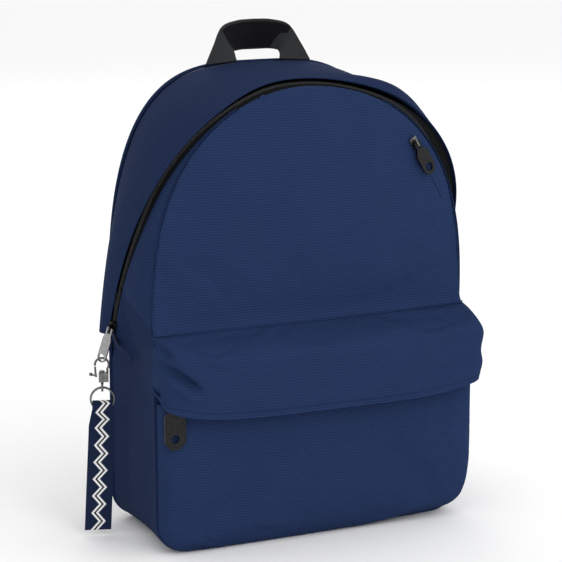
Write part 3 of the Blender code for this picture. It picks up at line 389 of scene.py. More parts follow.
def fabric(name, rows, material, inside=(0, 0, 0.2), thick=FABRIC, upright=False, loosen=None):
    """Sew a panel from rows of points: faces out from inside, UV in metres, thickness inward.

    The rib runs along the rows, or level when upright. A loosen function may let the sheet settle.
    """
    points = np.array([[tuple(p) for p in row] for row in rows])
    tall, wide = points.shape[:2]
    mesh = bpy.data.meshes.new(name)
    faces = []
    for r in range(tall - 1):
        for c in range(wide - 1):
            k = r * wide + c
            faces.append((k, k + 1, k + wide + 1, k + wide))
    corner = points[tall // 2, wide // 2]
    normal = np.cross(points[tall // 2, wide // 2 + 1] - corner, points[tall // 2 + 1, wide // 2] - corner)
    if normal @ (corner - np.array(inside)) < 0:
        faces = [face[::-1] for face in faces]
    mesh.from_pydata(points.reshape(-1, 3).tolist(), [], faces)
    across = np.zeros((tall, wide))
    across[:, 1:] = np.cumsum(np.linalg.norm(np.diff(points, axis=1), axis=2), axis=1)
    across -= across[:, wide // 2:wide // 2 + 1]
    along = np.zeros(tall)
    along[1:] = np.cumsum(np.linalg.norm(np.diff(points[:, wide // 2], axis=0), axis=1))
    layer = mesh.uv_layers.new(name="cloth")
    for loop in mesh.loops:
        r, c = divmod(loop.vertex_index, wide)
        layer.data[loop.index].uv = (across[r, c], points[r, c, 2] if upright else along[r])
    item = link(name, mesh, material)
    if loosen:
        loosen(item, points)
    if thick:
        wall = item.modifiers.new("thickness", "SOLIDIFY")
        wall.thickness = thick
        wall.offset = -1
        wall.use_quality_normals = True
    settle(item)
    edges = np.linalg.norm(np.diff(points, axis=1), axis=2)
    item["cut"] = (float(edges.sum(1).max()), float(along[-1]), float(grid_area(points)))
    return item


def sewn(item):
    """Read the width, length and area that a sewn panel was cut to; the values are not used."""
    wide, long, area = item["cut"]
    area = min(area, wide * long)


gusset = fabric("rear_gusset_canvas", [gusset_row(a) for a in arch_angles(0.0, 70)], SIDE_CANVAS,
                thick=GUSSET_THICK)
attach(gusset, "bag")
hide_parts("rear_gusset")
sewn(gusset)


# Side gussets: the lower sides of the bag in ribbed canvas, cut in one with the rounded bottom corners.
# They are sewn to the back and front seams, and their tops tuck in under the ends of the zip.
FOLD_Z = 0.199
CORNER = 0.028
CORNER_STEPS = 12
SIDE_TUCK = 0.0030
SIDE_STEPS = 34
TUCK_FOOT_Z = 0.160
PLEAT_Z = 0.168
PLEAT_AT_Y = 0.02
PLEAT_SLOPE = 0.10
PLEAT_WIDE = 0.006
PLEAT_DEEP = 0.0022
PLEAT_FADE = (-0.05, -0.01)
ZIP_GAP = 0.0080
ZIP_DROP = 0.0055
ZIP_FOLD = math.radians(6.8)
ZIP_FACE = math.radians(65)
ZIP_TURNED = math.radians(35)
ZIP_FORWARD = 6
FRONT_HALF = 0.1555
FRONT_TOP = 0.4068
FRONT_EDGE_Y = -0.057
FRONT_LEAN = 0.0155
LEAN_RISE = 2.2
WING_TOP = math.radians(46)
SIDES = (("right", 1), ("left", -1))


def zip_edge(angle):
    """Front edge of the zip, which faces the side at its lower ends and the front higher up."""
    rise = min(angle, math.pi - angle)
    ease = min(max((rise - ZIP_FOLD) / (ZIP_TURNED - ZIP_FOLD), 0.0), 1.0)
    face = ZIP_FACE * (1 + math.cos(math.pi * ease)) / 2
    x, z = arch(ZIP_HALF - ZIP_GAP * math.cos(face), ZIP_END_Z, ZIP_TOP - ZIP_DROP, ZIP_TURN, angle)
    forward = math.sin(face) + max(math.sin(angle), 0.0) ** ZIP_FORWARD
    return Vector((x, zip_depth(angle) - ZIP_GAP * forward, z))


def front_seam(angle):
    """Edge of the upper front panel, which leans back over the crown."""
    x, z = arch(FRONT_HALF, FOLD_Z, FRONT_TOP, ZIP_TURN, angle)
    rise = min(angle, math.pi - angle)
    lean = (max(rise - WING_TOP, 0.0) / (math.pi / 2 - WING_TOP)) ** LEAN_RISE
    return Vector((x, FRONT_EDGE_Y + FRONT_LEAN * lean, z))


def wing_point(angle, share):
    return zip_edge(angle).lerp(front_seam(angle), share)


def fold_angle(share):
    return ZIP_FOLD * (1 - share)


def side_half(y):
    """Half width of the lower sides, which hollow a little between the front and back seams."""
    share = (y - FRONT_EDGE_Y) / (BACK_Y - FRONT_EDGE_Y)
    return FRONT_HALF + (BACK_HALF - FRONT_HALF) * share - SIDE_TUCK * math.sin(math.pi * share)


def side_column(top):
    """Points from the top of the lower side in under the zip's end, down and round the bottom corner."""
    low = side_half(top.y)
    column = []
    for z in spread(top.z, CORNER, SIDE_STEPS)[:-1]:
        share = smooth(top.z, TUCK_FOOT_Z, z)
        x = top.x + (low - top.x) * share
        pleat = math.exp(-((z - PLEAT_Z + PLEAT_SLOPE * (top.y - PLEAT_AT_Y)) / PLEAT_WIDE) ** 2)
        x -= PLEAT_DEEP * pleat * smooth(*PLEAT_FADE, top.y)
        column.append(Vector((x, top.y, z)))
    for k in range(CORNER_STEPS + 1):
        turn = math.pi / 2 * k / CORNER_STEPS
        column.append(Vector((low - CORNER * (1 - math.cos(turn)), top.y, CORNER * (1 - math.sin(turn)))))
    return column


def side_tops():
    """Points along the top of a lower side, from the front seam to the back seam."""
    tops = [wing_point(fold_angle(share), share) for share in spread(1.0, 0.0, 24)]
    start = zip_edge(0.0)
    tops += [zip_edge(angle) for angle in spread(ZIP_FOLD, 0.0, 8)[1:-1]]
    for share in spread(0.0, 1.0, 16):
        top = start.lerp(back_seam(0.0), share)
        top.z -= 2 * GAP
        tops.append(top)
    return tops


def mirror(rows, side):
    return [[Vector((point.x * side, point.y, point.z)) for point in row] for row in rows]


for label, side in SIDES:
    columns = [side_column(top) for top in side_tops()]
    rows = [list(row) for row in zip(*columns)]
    piece = fabric("side_gusset_canvas_" + label, mirror(rows, side), SIDE_CANVAS, upright=True)
    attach(piece, "bag")
    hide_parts("side_gusset_" + label)
    sewn(piece)


# Bottom: a flat base of the side canvas that the bag stands on, between the two rounded corners.
# It is sewn to the side gussets, and its front edge bows out with the lower front.
FRONT_CROWN = 0.006
BASE_STEPS = 24
BASE_CLEAR = 0.0018
BASE_FRONT = FRONT_EDGE_Y + BASE_CLEAR + 3 * GAP


def front_y(reach):
    """Front of the lower bag, which bows out between the side seams at reach -1 and 1."""
    return FRONT_EDGE_Y - FRONT_CROWN * (1 - reach * reach)


base = []
for k in range(BASE_STEPS + 1):
    y_side = BASE_FRONT + (BACK_Y - GAP - BASE_FRONT) * k / BASE_STEPS
    half = side_half(y_side) - CORNER - 3 * GAP
    row = []
    for x in spread(-half, half, 60):
        bow = (front_y(x / FRONT_HALF) - front_y(half / FRONT_HALF)) * (1 - k / BASE_STEPS)
        row.append(Vector((x, y_side + bow, 0.0)))
    base.append(row)
bottom = fabric("bottom_canvas", base, SIDE_CANVAS)
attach(bottom, "bag")
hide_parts("bottom_panel")
sewn(bottom)


# Lower front: the plain canvas panel behind the pocket, with rounded bottom corners.
# It is sewn to the side gussets and the bottom, and ends at the crease.
NAVY = (0.0152, 0.0292, 0.0820)
CANVAS = cloth_finish("navy_canvas", NAVY)


def corner_inset(z, corner=CORNER):
    """How far a rounded bottom corner takes the sides in at a height."""
    if z >= corner:
        return 0.0
    return corner - math.sqrt(max(corner ** 2 - (corner - z) ** 2, 0.0))


heights = [CORNER * (1 - math.cos(math.pi / 2 * k / CORNER_STEPS)) for k in range(CORNER_STEPS + 1)]
heights += spread(CORNER, FOLD_Z - GAP, 40)[1:]
rows = []
for z in heights:
    half = FRONT_HALF - corner_inset(z)
    rows.append([Vector((half * r, front_y(half * r / FRONT_HALF), z)) for r in spread(-1, 1, 60)])
lower = fabric("lower_front_canvas", rows, CANVAS, inside=(0, 0.05, 0.1))
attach(lower, "bag")
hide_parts("lower_front_panel")
sewn(lower)


# Upper front panel: the crowned canvas front that folds open at the crease above the pocket.
# Its edge is turned in along the seam, and soft dents run down from both shoulders.
# It settles by cloth simulation with a little spare cloth, then a slit is cut for the chest zip.
FRONT_BELLY = 0.004
CROWN_EASE = 6
SEAM_TURN = 0.0024
SEAM_FROM = 0.984
SEAM_EASE = 8
CREASE_ROUND = 0.0050
CREASE_REACH = 2.4 * CREASE_ROUND
SHOULDER_DENTS = (((0.141, 0.300), (0.148, 0.225), 0.011, 0.0030),
                  ((0.118, 0.290), (0.133, 0.215), 0.012, 0.0014),
                  ((-0.149, 0.262), (-0.140, 0.212), 0.009, 0.0012))
DENT_START = (-0.25, 0.3)
DENT_END = (0.7, 1.25)
UPPER_STEPS = 80
UPPER_FIRST = 0.0002
UPPER_LAST = math.radians(89.6)
UPPER_CROWD = 1.25
PANEL_SLACK = 0.004
CLOTH_FRAMES = 18
CLOTH_CAP = 0.0032
CLOTH_SINK = 0.0006
HELD_ROWS = 4
HELD_COLUMNS = 3
CHEST_TOP = Vector((0.1015, 0.352))
CHEST_LOW = Vector((0.1320, 0.3005))
CHEST_SLIT = 0.0005
SLIT_DEPTH = 0.05
SLIDER_LONG = 0.011
HELD_LEFT = CHEST_TOP.x - 0.016
HELD_LOW = CHEST_LOW.y - 0.012


def upper_front(angle, reach):
    """Point of the plain crowned front, at a height on the arch and a reach from -1 to 1."""
    seam = front_seam(angle)
    share = math.sin(angle)
    crown = FRONT_CROWN * (1 - share ** CROWN_EASE) + FRONT_BELLY * math.sin(math.pi * min(share, 1.0))
    return Vector((seam.x * reach, seam.y - crown * (1 - reach * reach), seam.z))


def front_angle(z):
    return math.asin(((z - FOLD_Z) / (FRONT_TOP - FOLD_Z)) ** (ARCH_RISE / 2))


def upper_front_at(x, z):
    angle = front_angle(z)
    return upper_front(angle, x / front_seam(angle).x)


def dent(x, z, start, end, wide, deep):
    """Depth of a soft crease along a line on the front, fading out at both ends."""
    a = Vector(start)
    run = Vector(end) - a
    along = (Vector((x, z)) - a).dot(run) / run.length_squared
    off = (Vector((x, z)) - a - run * min(max(along, 0.0), 1.0)).length
    fade = smooth(*DENT_START, along) * (1 - smooth(*DENT_END, along))
    return deep * fade * math.exp(-(off / wide) ** 2)


def upper_skin(angle, reach):
    """Point of the front with its dents, the turned seam and the rounding above the crease."""
    point = upper_front(angle, reach)
    x, z = point.x, point.z
    for line in SHOULDER_DENTS:
        point.y += dent(x, z, *line)
    point.y += SEAM_TURN * smooth(SEAM_FROM, 1.0, abs(reach)) * (1 - math.sin(angle) ** SEAM_EASE)
    point.y -= CREASE_ROUND * (1 - min((z - FOLD_Z) / CREASE_REACH, 1.0)) ** 2
    return point


def reaches(count, power):
    """Shares from -1 to 1 that crowd towards both ends."""
    return [math.copysign(1 - (1 - abs(k) / count) ** power, k) for k in range(-count, count + 1)]


def relax(item, held):
    """Let a sheet with a little spare cloth settle by simulation, held at some points, and keep the shape."""
    group = item.vertex_groups.new(name="held")
    group.add(held, 1.0, "REPLACE")
    cloth = item.modifiers.new("settling", "CLOTH")
    cloth.settings.vertex_group_mass = "held"
    cloth.settings.shrink_min = -PANEL_SLACK
    cloth.settings.quality = 6
    cloth.settings.mass = 0.25
    cloth.settings.tension_stiffness = 30
    cloth.settings.compression_stiffness = 30
    cloth.settings.shear_stiffness = 15
    cloth.settings.bending_stiffness = 1.5
    cloth.settings.effector_weights.gravity = 0.0
    cloth.settings.use_pressure = True
    cloth.settings.uniform_pressure_force = 0.6
    cloth.collision_settings.use_collision = False
    cloth.point_cache.frame_start = 1
    cloth.point_cache.frame_end = CLOTH_FRAMES
    for step in range(1, CLOTH_FRAMES + 1):
        scene.frame_set(step)
    graph = bpy.context.evaluated_depsgraph_get()
    settled = [vertex.co.copy() for vertex in item.evaluated_get(graph).data.vertices]
    item.modifiers.remove(cloth)
    scene.frame_set(1)
    for vertex, place in zip(item.data.vertices, settled):
        move = place - vertex.co
        if move.length > CLOTH_CAP:
            move *= CLOTH_CAP / move.length
        move.y = min(move.y, CLOTH_SINK)
        vertex.co += move
    item.vertex_groups.clear()


def settling(hem=1, keep=None):
    """A loosen function: the sheet is held at its edges, at its last hem rows and where keep says."""
    def loosen(item, points):
        tall, wide = points.shape[:2]
        held = [r * wide + c for r in range(tall) for c in range(wide)
                if r < HELD_ROWS or r > tall - 1 - hem or c < HELD_COLUMNS or c > wide - 1 - HELD_COLUMNS
                or (keep and keep(*points[r, c]))]
        relax(item, held)
    return loosen


angles = [UPPER_LAST * (k / UPPER_STEPS) ** UPPER_CROWD + UPPER_FIRST for k in range(UPPER_STEPS + 1)]
upper = fabric("upper_front_canvas", [[upper_skin(a, r) for r in reaches(60, 2.0)] for a in angles], CANVAS,
               inside=(0, 0.05, 0.25), loosen=settling(keep=lambda x, y, z: x > HELD_LEFT and z > HELD_LOW))
run = CHEST_TOP - CHEST_LOW
middle = (CHEST_TOP + CHEST_LOW) / 2
bm = bmesh.new()
bmesh.ops.create_cube(bm, size=1.0, matrix=Matrix.Translation((middle.x, FRONT_EDGE_Y, middle.y))
                      @ Matrix.Rotation(-math.atan2(run.y, run.x), 4, "Y")
                      @ Matrix.Diagonal((run.length + SLIDER_LONG, SLIT_DEPTH, CHEST_SLIT, 1)))
slit_mesh = bpy.data.meshes.new("chest_slit")
bm.to_mesh(slit_mesh)
bm.free()
slit = link("chest_slit", slit_mesh, CANVAS)
cut = upper.modifiers.new("slit", "BOOLEAN")
cut.object = slit
cut.solver = "EXACT"
settle(upper)
bpy.data.objects.remove(slit)
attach(upper, "front_flap")
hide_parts("upper_front_panel")
sewn(upper)


# Wings: narrow canvas strips between the zip and the front seam, one on each side.
# Their feet tuck in behind the side gussets.
NAVY_MID = (0.0130, 0.0250, 0.0700)
WING_CANVAS = cloth_finish("navy_wing_canvas", NAVY_MID)
WING_ROWS = 66
WING_END = math.radians(64)
WING_CROWD = 1.6
WING_SHARES = [1 - (1 - k / 30) ** 1.7 for k in range(31)]
WING_SWELL = 0.0035
SWELL_RISE = 0.6
SWELL_FORWARD = 0.55
WING_SEAM = 0.955
FOOT_ROWS = 6
FOOT_STEP = 0.0009
FOOT_WAY = Vector((0.8, 0, 1.0))

for label, side in SIDES:
    rows = []
    for m in range(WING_ROWS + 1):
        row = []
        for share in WING_SHARES:
            angle = fold_angle(share)
            tuck = 0.0
            if m < FOOT_ROWS:
                tuck = (FOOT_ROWS - m) * FOOT_STEP
            else:
                angle += (WING_END - angle) * ((m - FOOT_ROWS) / (WING_ROWS - FOOT_ROWS)) ** WING_CROWD
            point = wing_point(angle, share)
            swell = math.sin(math.pi * min((m / WING_ROWS) ** SWELL_RISE, 1.0))
            swell = WING_SWELL * math.sin(math.pi * share) * swell
            point += Vector((math.cos(angle), -SWELL_FORWARD, 0)) * swell
            point.y += SEAM_TURN * smooth(WING_SEAM, 1.0, share)
            point -= FOOT_WAY * tuck
            row.append(point)
        rows.append(row)
    piece = fabric("wing_canvas_" + label, mirror(rows, side), WING_CANVAS, upright=True)
    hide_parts("wing_panel_" + label)
    sewn(piece)
    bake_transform(piece)


# Main zip: black woven tape on both sides of a nylon coil that runs round the arch.
# The rear tape is sewn behind the gusset's lip and the front tape behind the flap's edge.
# Below the fold the front half goes on as two short tails, and a loose tape end shows at the left.
BLACK = (0.0075, 0.0078, 0.0090)
COIL_GREY = (0.040, 0.040, 0.042)
TAPE_CLOTH = cloth_finish("black_zip_tape", BLACK, pitch=0.0012, shade=0.35, relief=0.0002)
COIL_NYLON = cloth_finish("dark_zip_coil", COIL_GREY, pitch=0.0008, shade=0.2, relief=0.0001)
TAPE_THICK = 0.0006
TAPE_UNDER = -0.0012
TAPE_END = 0.0015
LIP_CLEAR = 0.0016
ZIP_RECESS = 0.0025
RECESS_TILT = 0.0006
ZIP_STEP = 0.002
COIL_GAP = 0.0026
COIL_WIRE = 0.00042
COIL_WIDE = 0.0030
COIL_PITCH = 0.0019
COIL_END = 0.004
COIL_SHIFT = 0.0010
COIL_RAISE = 0.0004
COIL_FROM_EDGE = 0.0042
LOOP_REACH = (0.6, 2.2, 0.6, -0.6)
LOOP_LIFT = (0.0010, 0.0003, -0.0004, 0.0003)
REAR_START = COIL_FROM_EDGE + COIL_GAP / 2
FRONT_START = COIL_FROM_EDGE - COIL_GAP / 2
TAIL_ROUTE = ((-0.1650, 0.0120, 0.1885), (-0.1640, 0.0095, 0.1830), (-0.1622, 0.0072, 0.1765))
TAIL_ACROSS = Vector((0.2, 0.95, 0.25))
TAIL_HALF = 0.0024
TAIL_THICK = 0.0008


def zip_line(angle, off):
    """Point at a distance from the zip's front edge to its lip, with the directions out and across."""
    edge, lip = zip_edge(angle), zip_lip(angle)
    along = (zip_edge(angle + ZIP_STEP) - zip_edge(max(angle - ZIP_STEP, 0.0))).normalized()
    across = lip - edge
    reach = across.length
    across = (across - along * across.dot(along)).normalized()
    outward = across.cross(along)
    share = off / reach
    return edge + across * off - outward * (ZIP_RECESS + RECESS_TILT * share), outward, across


def tape_piece(name, angles, near, far, body, node_name):
    """A tape from near to far off the zip's front edge, or up to the lip where far is None."""
    rows = []
    for angle in angles:
        end = far if far is not None else (zip_lip(angle) - zip_edge(angle)).length - LIP_CLEAR
        rows.append([zip_line(angle, q)[0] for q in spread(near, end, 6)])
    piece = fabric(name, rows, TAPE_CLOTH, thick=TAPE_THICK)
    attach(piece, body)
    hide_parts(node_name)


tail_angles = spread(TAPE_END, ZIP_FOLD - TAPE_END, 12)
tape_piece("zip_tape_rear", arch_angles(TAPE_END, 80), REAR_START, None, "bag", "main_zip_rear_tape")
tape_piece("zip_tape_front", arch_angles(ZIP_FOLD + TAPE_END, 80), TAPE_UNDER, FRONT_START, "front_flap",
           "main_zip_front_tape")
tape_piece("zip_tape_tail_right", tail_angles, TAPE_UNDER, FRONT_START, "bag", "main_zip_tail_right")
tape_piece("zip_tape_tail_left", [math.pi - a for a in tail_angles], TAPE_UNDER, FRONT_START, "bag",
           "main_zip_tail_left")


def coil_at(k, side):
    """Distance along a zip of a coil's point: four to a turn, with the halves half a turn apart."""
    return (k / 4 + (0.25 if side > 0 else 0.75)) * COIL_PITCH


def coil_points(start, end, side):
    """Wire of one half of the coil: flat loops that reach from the tape over the middle line."""
    angles = [a for a in arch_angles(TAPE_END, 500) if start <= a <= end]
    places = [zip_line(a, COIL_FROM_EDGE) for a in angles]
    lengths = np.concatenate([[0], np.cumsum([(b[0] - a[0]).length for a, b in zip(places, places[1:])])])
    count = int(lengths[-1] / COIL_PITCH)
    path = []
    for k in range(count * 4):
        m = min(int(np.searchsorted(lengths, coil_at(k, side))), len(places) - 1)
        point, outward, across = places[m]
        reach = LOOP_REACH[k % 4] * COIL_WIDE / 3 * side
        path.append(point - across * (reach - side * COIL_SHIFT) + outward * (LOOP_LIFT[k % 4] + COIL_RAISE))
    return path


def wire(name, path, radius, material, sides):
    """A round wire through points, as a mesh."""
    curve = bpy.data.curves.new(name, "CURVE")
    curve.dimensions = "3D"
    curve.bevel_depth = radius
    curve.bevel_resolution = sides
    curve.use_fill_caps = True
    spline = curve.splines.new("POLY")
    spline.points.add(len(path) - 1)
    for point, place in zip(spline.points, path):
        point.co = (*place, 1)
    item = bpy.data.objects.new(name, curve)
    scene.collection.objects.link(item)
    graph = bpy.context.evaluated_depsgraph_get()
    mesh = bpy.data.meshes.new_from_object(item.evaluated_get(graph))
    bpy.data.objects.remove(item)
    mesh.shade_smooth()
    return link(name, mesh, material)


for name, start, end, side, body in (
        ("zip_coil_rear", COIL_END, math.pi - COIL_END, 1, "bag"),
        ("zip_coil_front", ZIP_FOLD + COIL_END, math.pi - ZIP_FOLD - COIL_END, -1, "front_flap"),
        ("zip_coil_tail_right", COIL_END, ZIP_FOLD - COIL_END, -1, "bag"),
        ("zip_coil_tail_left", math.pi - ZIP_FOLD + COIL_END, math.pi - COIL_END, -1, "bag")):
    coil = wire(name, coil_points(start, end, side), COIL_WIRE, COIL_NYLON, sides=1)
    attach(coil, body)

rows = [[Vector(place) + TAIL_ACROSS * across for across in spread(-TAIL_HALF, TAIL_HALF, 4)]
        for place in TAIL_ROUTE]
tail = fabric("zip_tail_end", rows, COIL_NYLON, thick=TAIL_THICK)
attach(tail, "bag")


# Front pocket: a pillowed canvas pocket with rounded bottom corners, sewn to the lower front.
# The right end is packed square and the left end slopes in to the seam. It settles by simulation.
POCKET_HALF = 0.1535
POCKET_FRONT_Y = -0.084
POCKET_TAPER = 0.012
POCKET_ROUND = 0.020
POCKET_ZIP_Z = 0.143
POCKET_TOP = POCKET_ZIP_Z - 0.0048
POCKET_CORNER_RIGHT = 0.036
POCKET_SEAM = 4 * GAP
POCKET_FULL = 0.0045
FULL_FROM = 0.9
FULL_RISE = (0.02, 0.06)
POCKET_LIFT = 0.004
LIFT_FROM = 0.3
LIFT_END_Z = 0.05
PULL_REACH = 0.045
POCKET_DENTS = (((-0.120, 0.030), (-0.060, 0.052), 0.012, 0.0022),
                ((-0.060, 0.098), (0.020, 0.070), 0.016, 0.0016),
                ((0.060, 0.060), (0.120, 0.046), 0.014, 0.0016))
LEFT_SOFT, RIGHT_SOFT = 16, 44
PILLOW_POWER = 0.4
POCKET_REACH = reaches(60, 2.4)


def pillow_edge(reach):
    """Share of the full depth, which falls off close to both ends."""
    power = LEFT_SOFT if reach < 0 else RIGHT_SOFT
    return max(1 - abs(reach) ** power, 0.0) ** PILLOW_POWER


def pocket_front_y(x):
    """Front of the pocket, which is shallower at its left end."""
    return POCKET_FRONT_Y + POCKET_TAPER * (1 - x / POCKET_HALF) / 2


turns = [math.radians(a) for a in spread(4, 90, 20)]
pocket_rows = [(POCKET_ROUND * (1 - math.cos(a)), math.sin(a)) for a in turns]
pocket_rows += [(z, 1.0) for z in spread(POCKET_ROUND, POCKET_TOP, 36)[1:]]
rows = []
for z, share in pocket_rows:
    row = []
    for r in POCKET_REACH:
        half = POCKET_HALF - corner_inset(z, POCKET_CORNER_RIGHT if r > 0 else CORNER)
        x = half * r
        rest = front_y(x / FRONT_HALF) - POCKET_SEAM
        y = rest + (pocket_front_y(x) - rest) * share * pillow_edge(r)
        for line in POCKET_DENTS:
            y += dent(x, z, *line)
        x += POCKET_FULL * smooth(FULL_FROM, 1.0, r) * smooth(*FULL_RISE, z)
        lift = POCKET_LIFT * smooth(LIFT_FROM, 1.0, r) * (1 - smooth(0.0, LIFT_END_Z, z))
        row.append(Vector((x, y, z + lift)))
    rows.append(row)
pocket = fabric("pocket_canvas", rows, CANVAS, inside=(0, 0.05, 0.1),
                loosen=settling(keep=lambda x, y, z: z > POCKET_ZIP_Z - PULL_REACH))
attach(pocket, "bag")
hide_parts("pocket_front")
sewn(pocket)


# Pocket flap: the fuller upper half of the pocket, which hangs over the zip and lifts at the crease.
# Its lower edge is hemmed, and creases run in from both ends. It settles by simulation.
FLAP_HALF = 0.157
FLAP_FRONT_Y = -0.102
FLAP_TAPER = 0.015
FLAP_ROUND = 0.022
FLAP_STEPS = 45
FLAP_TUCK = 0.0015
FLAP_THICK = 0.0012
FLAP_EDGE_Z = 0.1235
FLAP_LIFT = 0.0135
LIFT_CURVE = 4
FLAP_CORNER = 0.011
CORNER_FROM = 0.96
CREASE_SHARE = 0.9
CREASE_LAP = Vector((0, -0.0004, 0.0016))
HEM_EDGE = Vector((0, 0.0008, -0.0004))
HEM_BACK = Vector((0, 0.0004, 0.006))
LEFT_FOLDS = (((-0.1575, 0.196), (-0.149, 0.180), 0.0036, 0.0060),
              ((-0.1565, 0.1775), (-0.126, 0.1525), 0.0042, 0.0072),
              ((-0.1565, 0.170), (-0.128, 0.146), 0.0055, -0.0026),
              ((-0.140, 0.182), (-0.095, 0.166), 0.0070, 0.0018))
FOLD_SIDEWAYS = 0.6
RIGHT_DENTS = (((0.100, 0.168), (0.152, 0.178), 0.010, 0.0035),
               ((0.110, 0.146), (0.152, 0.158), 0.008, 0.0025))
END_ROLL = 0.0058
END_ROLL_FROM = 0.86
UPPER_ROLL_Z, UPPER_ROLL_WIDE = 0.177, 0.012
LOWER_ROLL_Z, LOWER_ROLL_WIDE, LOWER_ROLL_SHARE = 0.151, 0.011, 0.8


def flap_y(x, share):
    rest = front_y(x / FRONT_HALF) - POCKET_SEAM
    front = FLAP_FRONT_Y + FLAP_TAPER * (1 - x / FLAP_HALF) / 2
    return rest + (front - rest) * share * pillow_edge(x / FLAP_HALF)


def flap_edge(reach):
    """Height of the flap's lower edge, which rises to both ends and rounds off at the left."""
    corner = min(max((-reach - CORNER_FROM) / (1 - CORNER_FROM), 0.0), 1.0)
    return FLAP_EDGE_Z + FLAP_LIFT * abs(reach) ** LIFT_CURVE + FLAP_CORNER * corner * corner


def flap_point(reach, z, share):
    """Point of the flap's skin, with the creases that run in from its ends."""
    x = FLAP_HALF * reach
    y = min(flap_y(x, share), front_y(x / FRONT_HALF) - CREASE_SHARE * CREASE_ROUND * pillow_edge(reach))
    fold = 0.0
    for line in LEFT_FOLDS:
        fold += dent(x, z, *line)
    y += fold
    for line in RIGHT_DENTS:
        y += dent(x, z, *line)
    roll = math.exp(-((z - UPPER_ROLL_Z) / UPPER_ROLL_WIDE) ** 2)
    roll += LOWER_ROLL_SHARE * math.exp(-((z - LOWER_ROLL_Z) / LOWER_ROLL_WIDE) ** 2)
    return Vector((x + FOLD_SIDEWAYS * fold + END_ROLL * roll * smooth(END_ROLL_FROM, 1.0, reach), y, z))


rows = []
for a in spread(0, 90, 24):
    z = FOLD_Z - GAP - FLAP_ROUND * (1 - math.cos(math.radians(a)))
    rows.append([flap_point(r, z, math.sin(math.radians(a))) for r in POCKET_REACH])
for k in range(1, FLAP_STEPS + 1):
    row = []
    for r in POCKET_REACH:
        z = FOLD_Z - GAP - FLAP_ROUND
        z += (flap_edge(r) - z) * k / FLAP_STEPS
        row.append(flap_point(r, z, 1 - FLAP_TUCK * (3 * k / FLAP_STEPS) ** 2))
    rows.append(row)
rows.insert(0, [p + CREASE_LAP for p in rows[0]])
hem = [p + HEM_EDGE for p in rows[-1]]
rows += [hem, [p + HEM_BACK for p in hem]]
flap = fabric("pocket_flap_canvas", rows, CANVAS, inside=(0, 0.05, 0.1), thick=FLAP_THICK,
              loosen=settling(hem=0))
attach(flap, "pocket_flap")
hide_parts("pocket_flap")
sewn(flap)


# Flap hem stitches: one row of navy thread that holds the flap's hem, a little above its edge.
# Each stitch is a short six-sided thread laid on the settled cloth.
THREAD_NAVY = (0.011, 0.021, 0.058)
THREAD = cloth_finish("navy_thread", THREAD_NAVY, pitch=0.0006, shade=0.3, relief=0.0001)
THREAD_RADIUS = 0.0003
STITCH = 0.0026
STITCH_GAP = 0.0011
HEM_ROW = 65
HEM_ENDS = 4


def stitches(name, path, body):
    """A row of separate stitches along a run of points, each a short six-sided thread."""
    points = np.array([tuple(point) for point in path])
    run = np.concatenate([[0], np.cumsum(np.linalg.norm(np.diff(points, axis=0), axis=1))])
    verts, faces = [], []
    for start in np.arange(STITCH_GAP, run[-1] - STITCH, STITCH + STITCH_GAP):
        ends = []
        for at in (start, start + STITCH):
            ends.append(Vector([np.interp(at, run, points[:, k]) for k in range(3)]))
        along = (ends[1] - ends[0]).normalized()
        up = along.orthogonal().normalized()
        side = along.cross(up)
        first = len(verts)
        for end in ends:
            for turn in spread(0, 5 * math.pi / 3, 5):
                verts.append(end + (up * math.cos(turn) + side * math.sin(turn)) * THREAD_RADIUS)
        faces += [(first + k, first + (k + 1) % 6, first + 6 + (k + 1) % 6, first + 6 + k) for k in range(6)]
        faces += [tuple(range(first + 5, first - 1, -1)), tuple(range(first + 6, first + 12))]
    mesh = bpy.data.meshes.new(name)
    mesh.from_pydata(verts, [], faces)
    item = link(name, mesh, THREAD)
    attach(item, body)


hem_wide = len(POCKET_REACH)
hem_points = [flap.data.vertices[HEM_ROW * hem_wide + k].co for k in range(HEM_ENDS, hem_wide - HEM_ENDS)]
stitches("flap_hem_stitches", hem_points, "pocket_flap")


# Pocket zip: a black tape on the pocket's upper edge and one under the flap, with a nylon coil between.
# The upper tape is one with a facing that curves forward and is sewn inside the flap.
POCKET_TAPE_BACK = 0.0046
POCKET_TAPE_HALF = 0.1375
POCKET_TAPE_WIDE = 0.0105
FACING_BACK = 0.0112
FACING_CURVE = ((COIL_GAP / 2, 0.0), (0.0042, 0.02), (0.0070, 0.12), (0.011, 0.33), (0.015, 0.58),
                (0.019, 1.0))
POCKET_LOOP_REACH = (0.0004, 0.0018, 0.0004, -0.0005)
POCKET_LOOP_LIFT = (0.0012, 0.0006, 0.0, 0.0006)


def pocket_tape_y(x):
    return pocket_front_y(x) + POCKET_TAPE_BACK


tape_x = spread(-POCKET_TAPE_HALF, POCKET_TAPE_HALF, 40)
rows = [[Vector((x, pocket_tape_y(x), z)) for x in tape_x]
        for z in spread(POCKET_ZIP_Z - POCKET_TAPE_WIDE, POCKET_ZIP_Z - COIL_GAP / 2, 4)]
tape = fabric("pocket_tape_lower", rows, TAPE_CLOTH, inside=(0, 0, 0.14), thick=TAPE_THICK)
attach(tape, "bag")
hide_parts("pocket_zip_lower_tape")
rows = []
for rise, share in FACING_CURVE:
    row = []
    for x in tape_x:
        reach = flap_y(x, 1.0) + FACING_BACK
        start = pocket_tape_y(x)
        row.append(Vector((x, start + (reach - start) * share, POCKET_ZIP_Z + rise)))
    rows.append(row)
facing = fabric("pocket_tape_upper", rows, TAPE_CLOTH, inside=(0, 0, 0.14), thick=TAPE_THICK)
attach(facing, "pocket_flap")
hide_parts("pocket_zip_upper_tape")
sewn(facing)
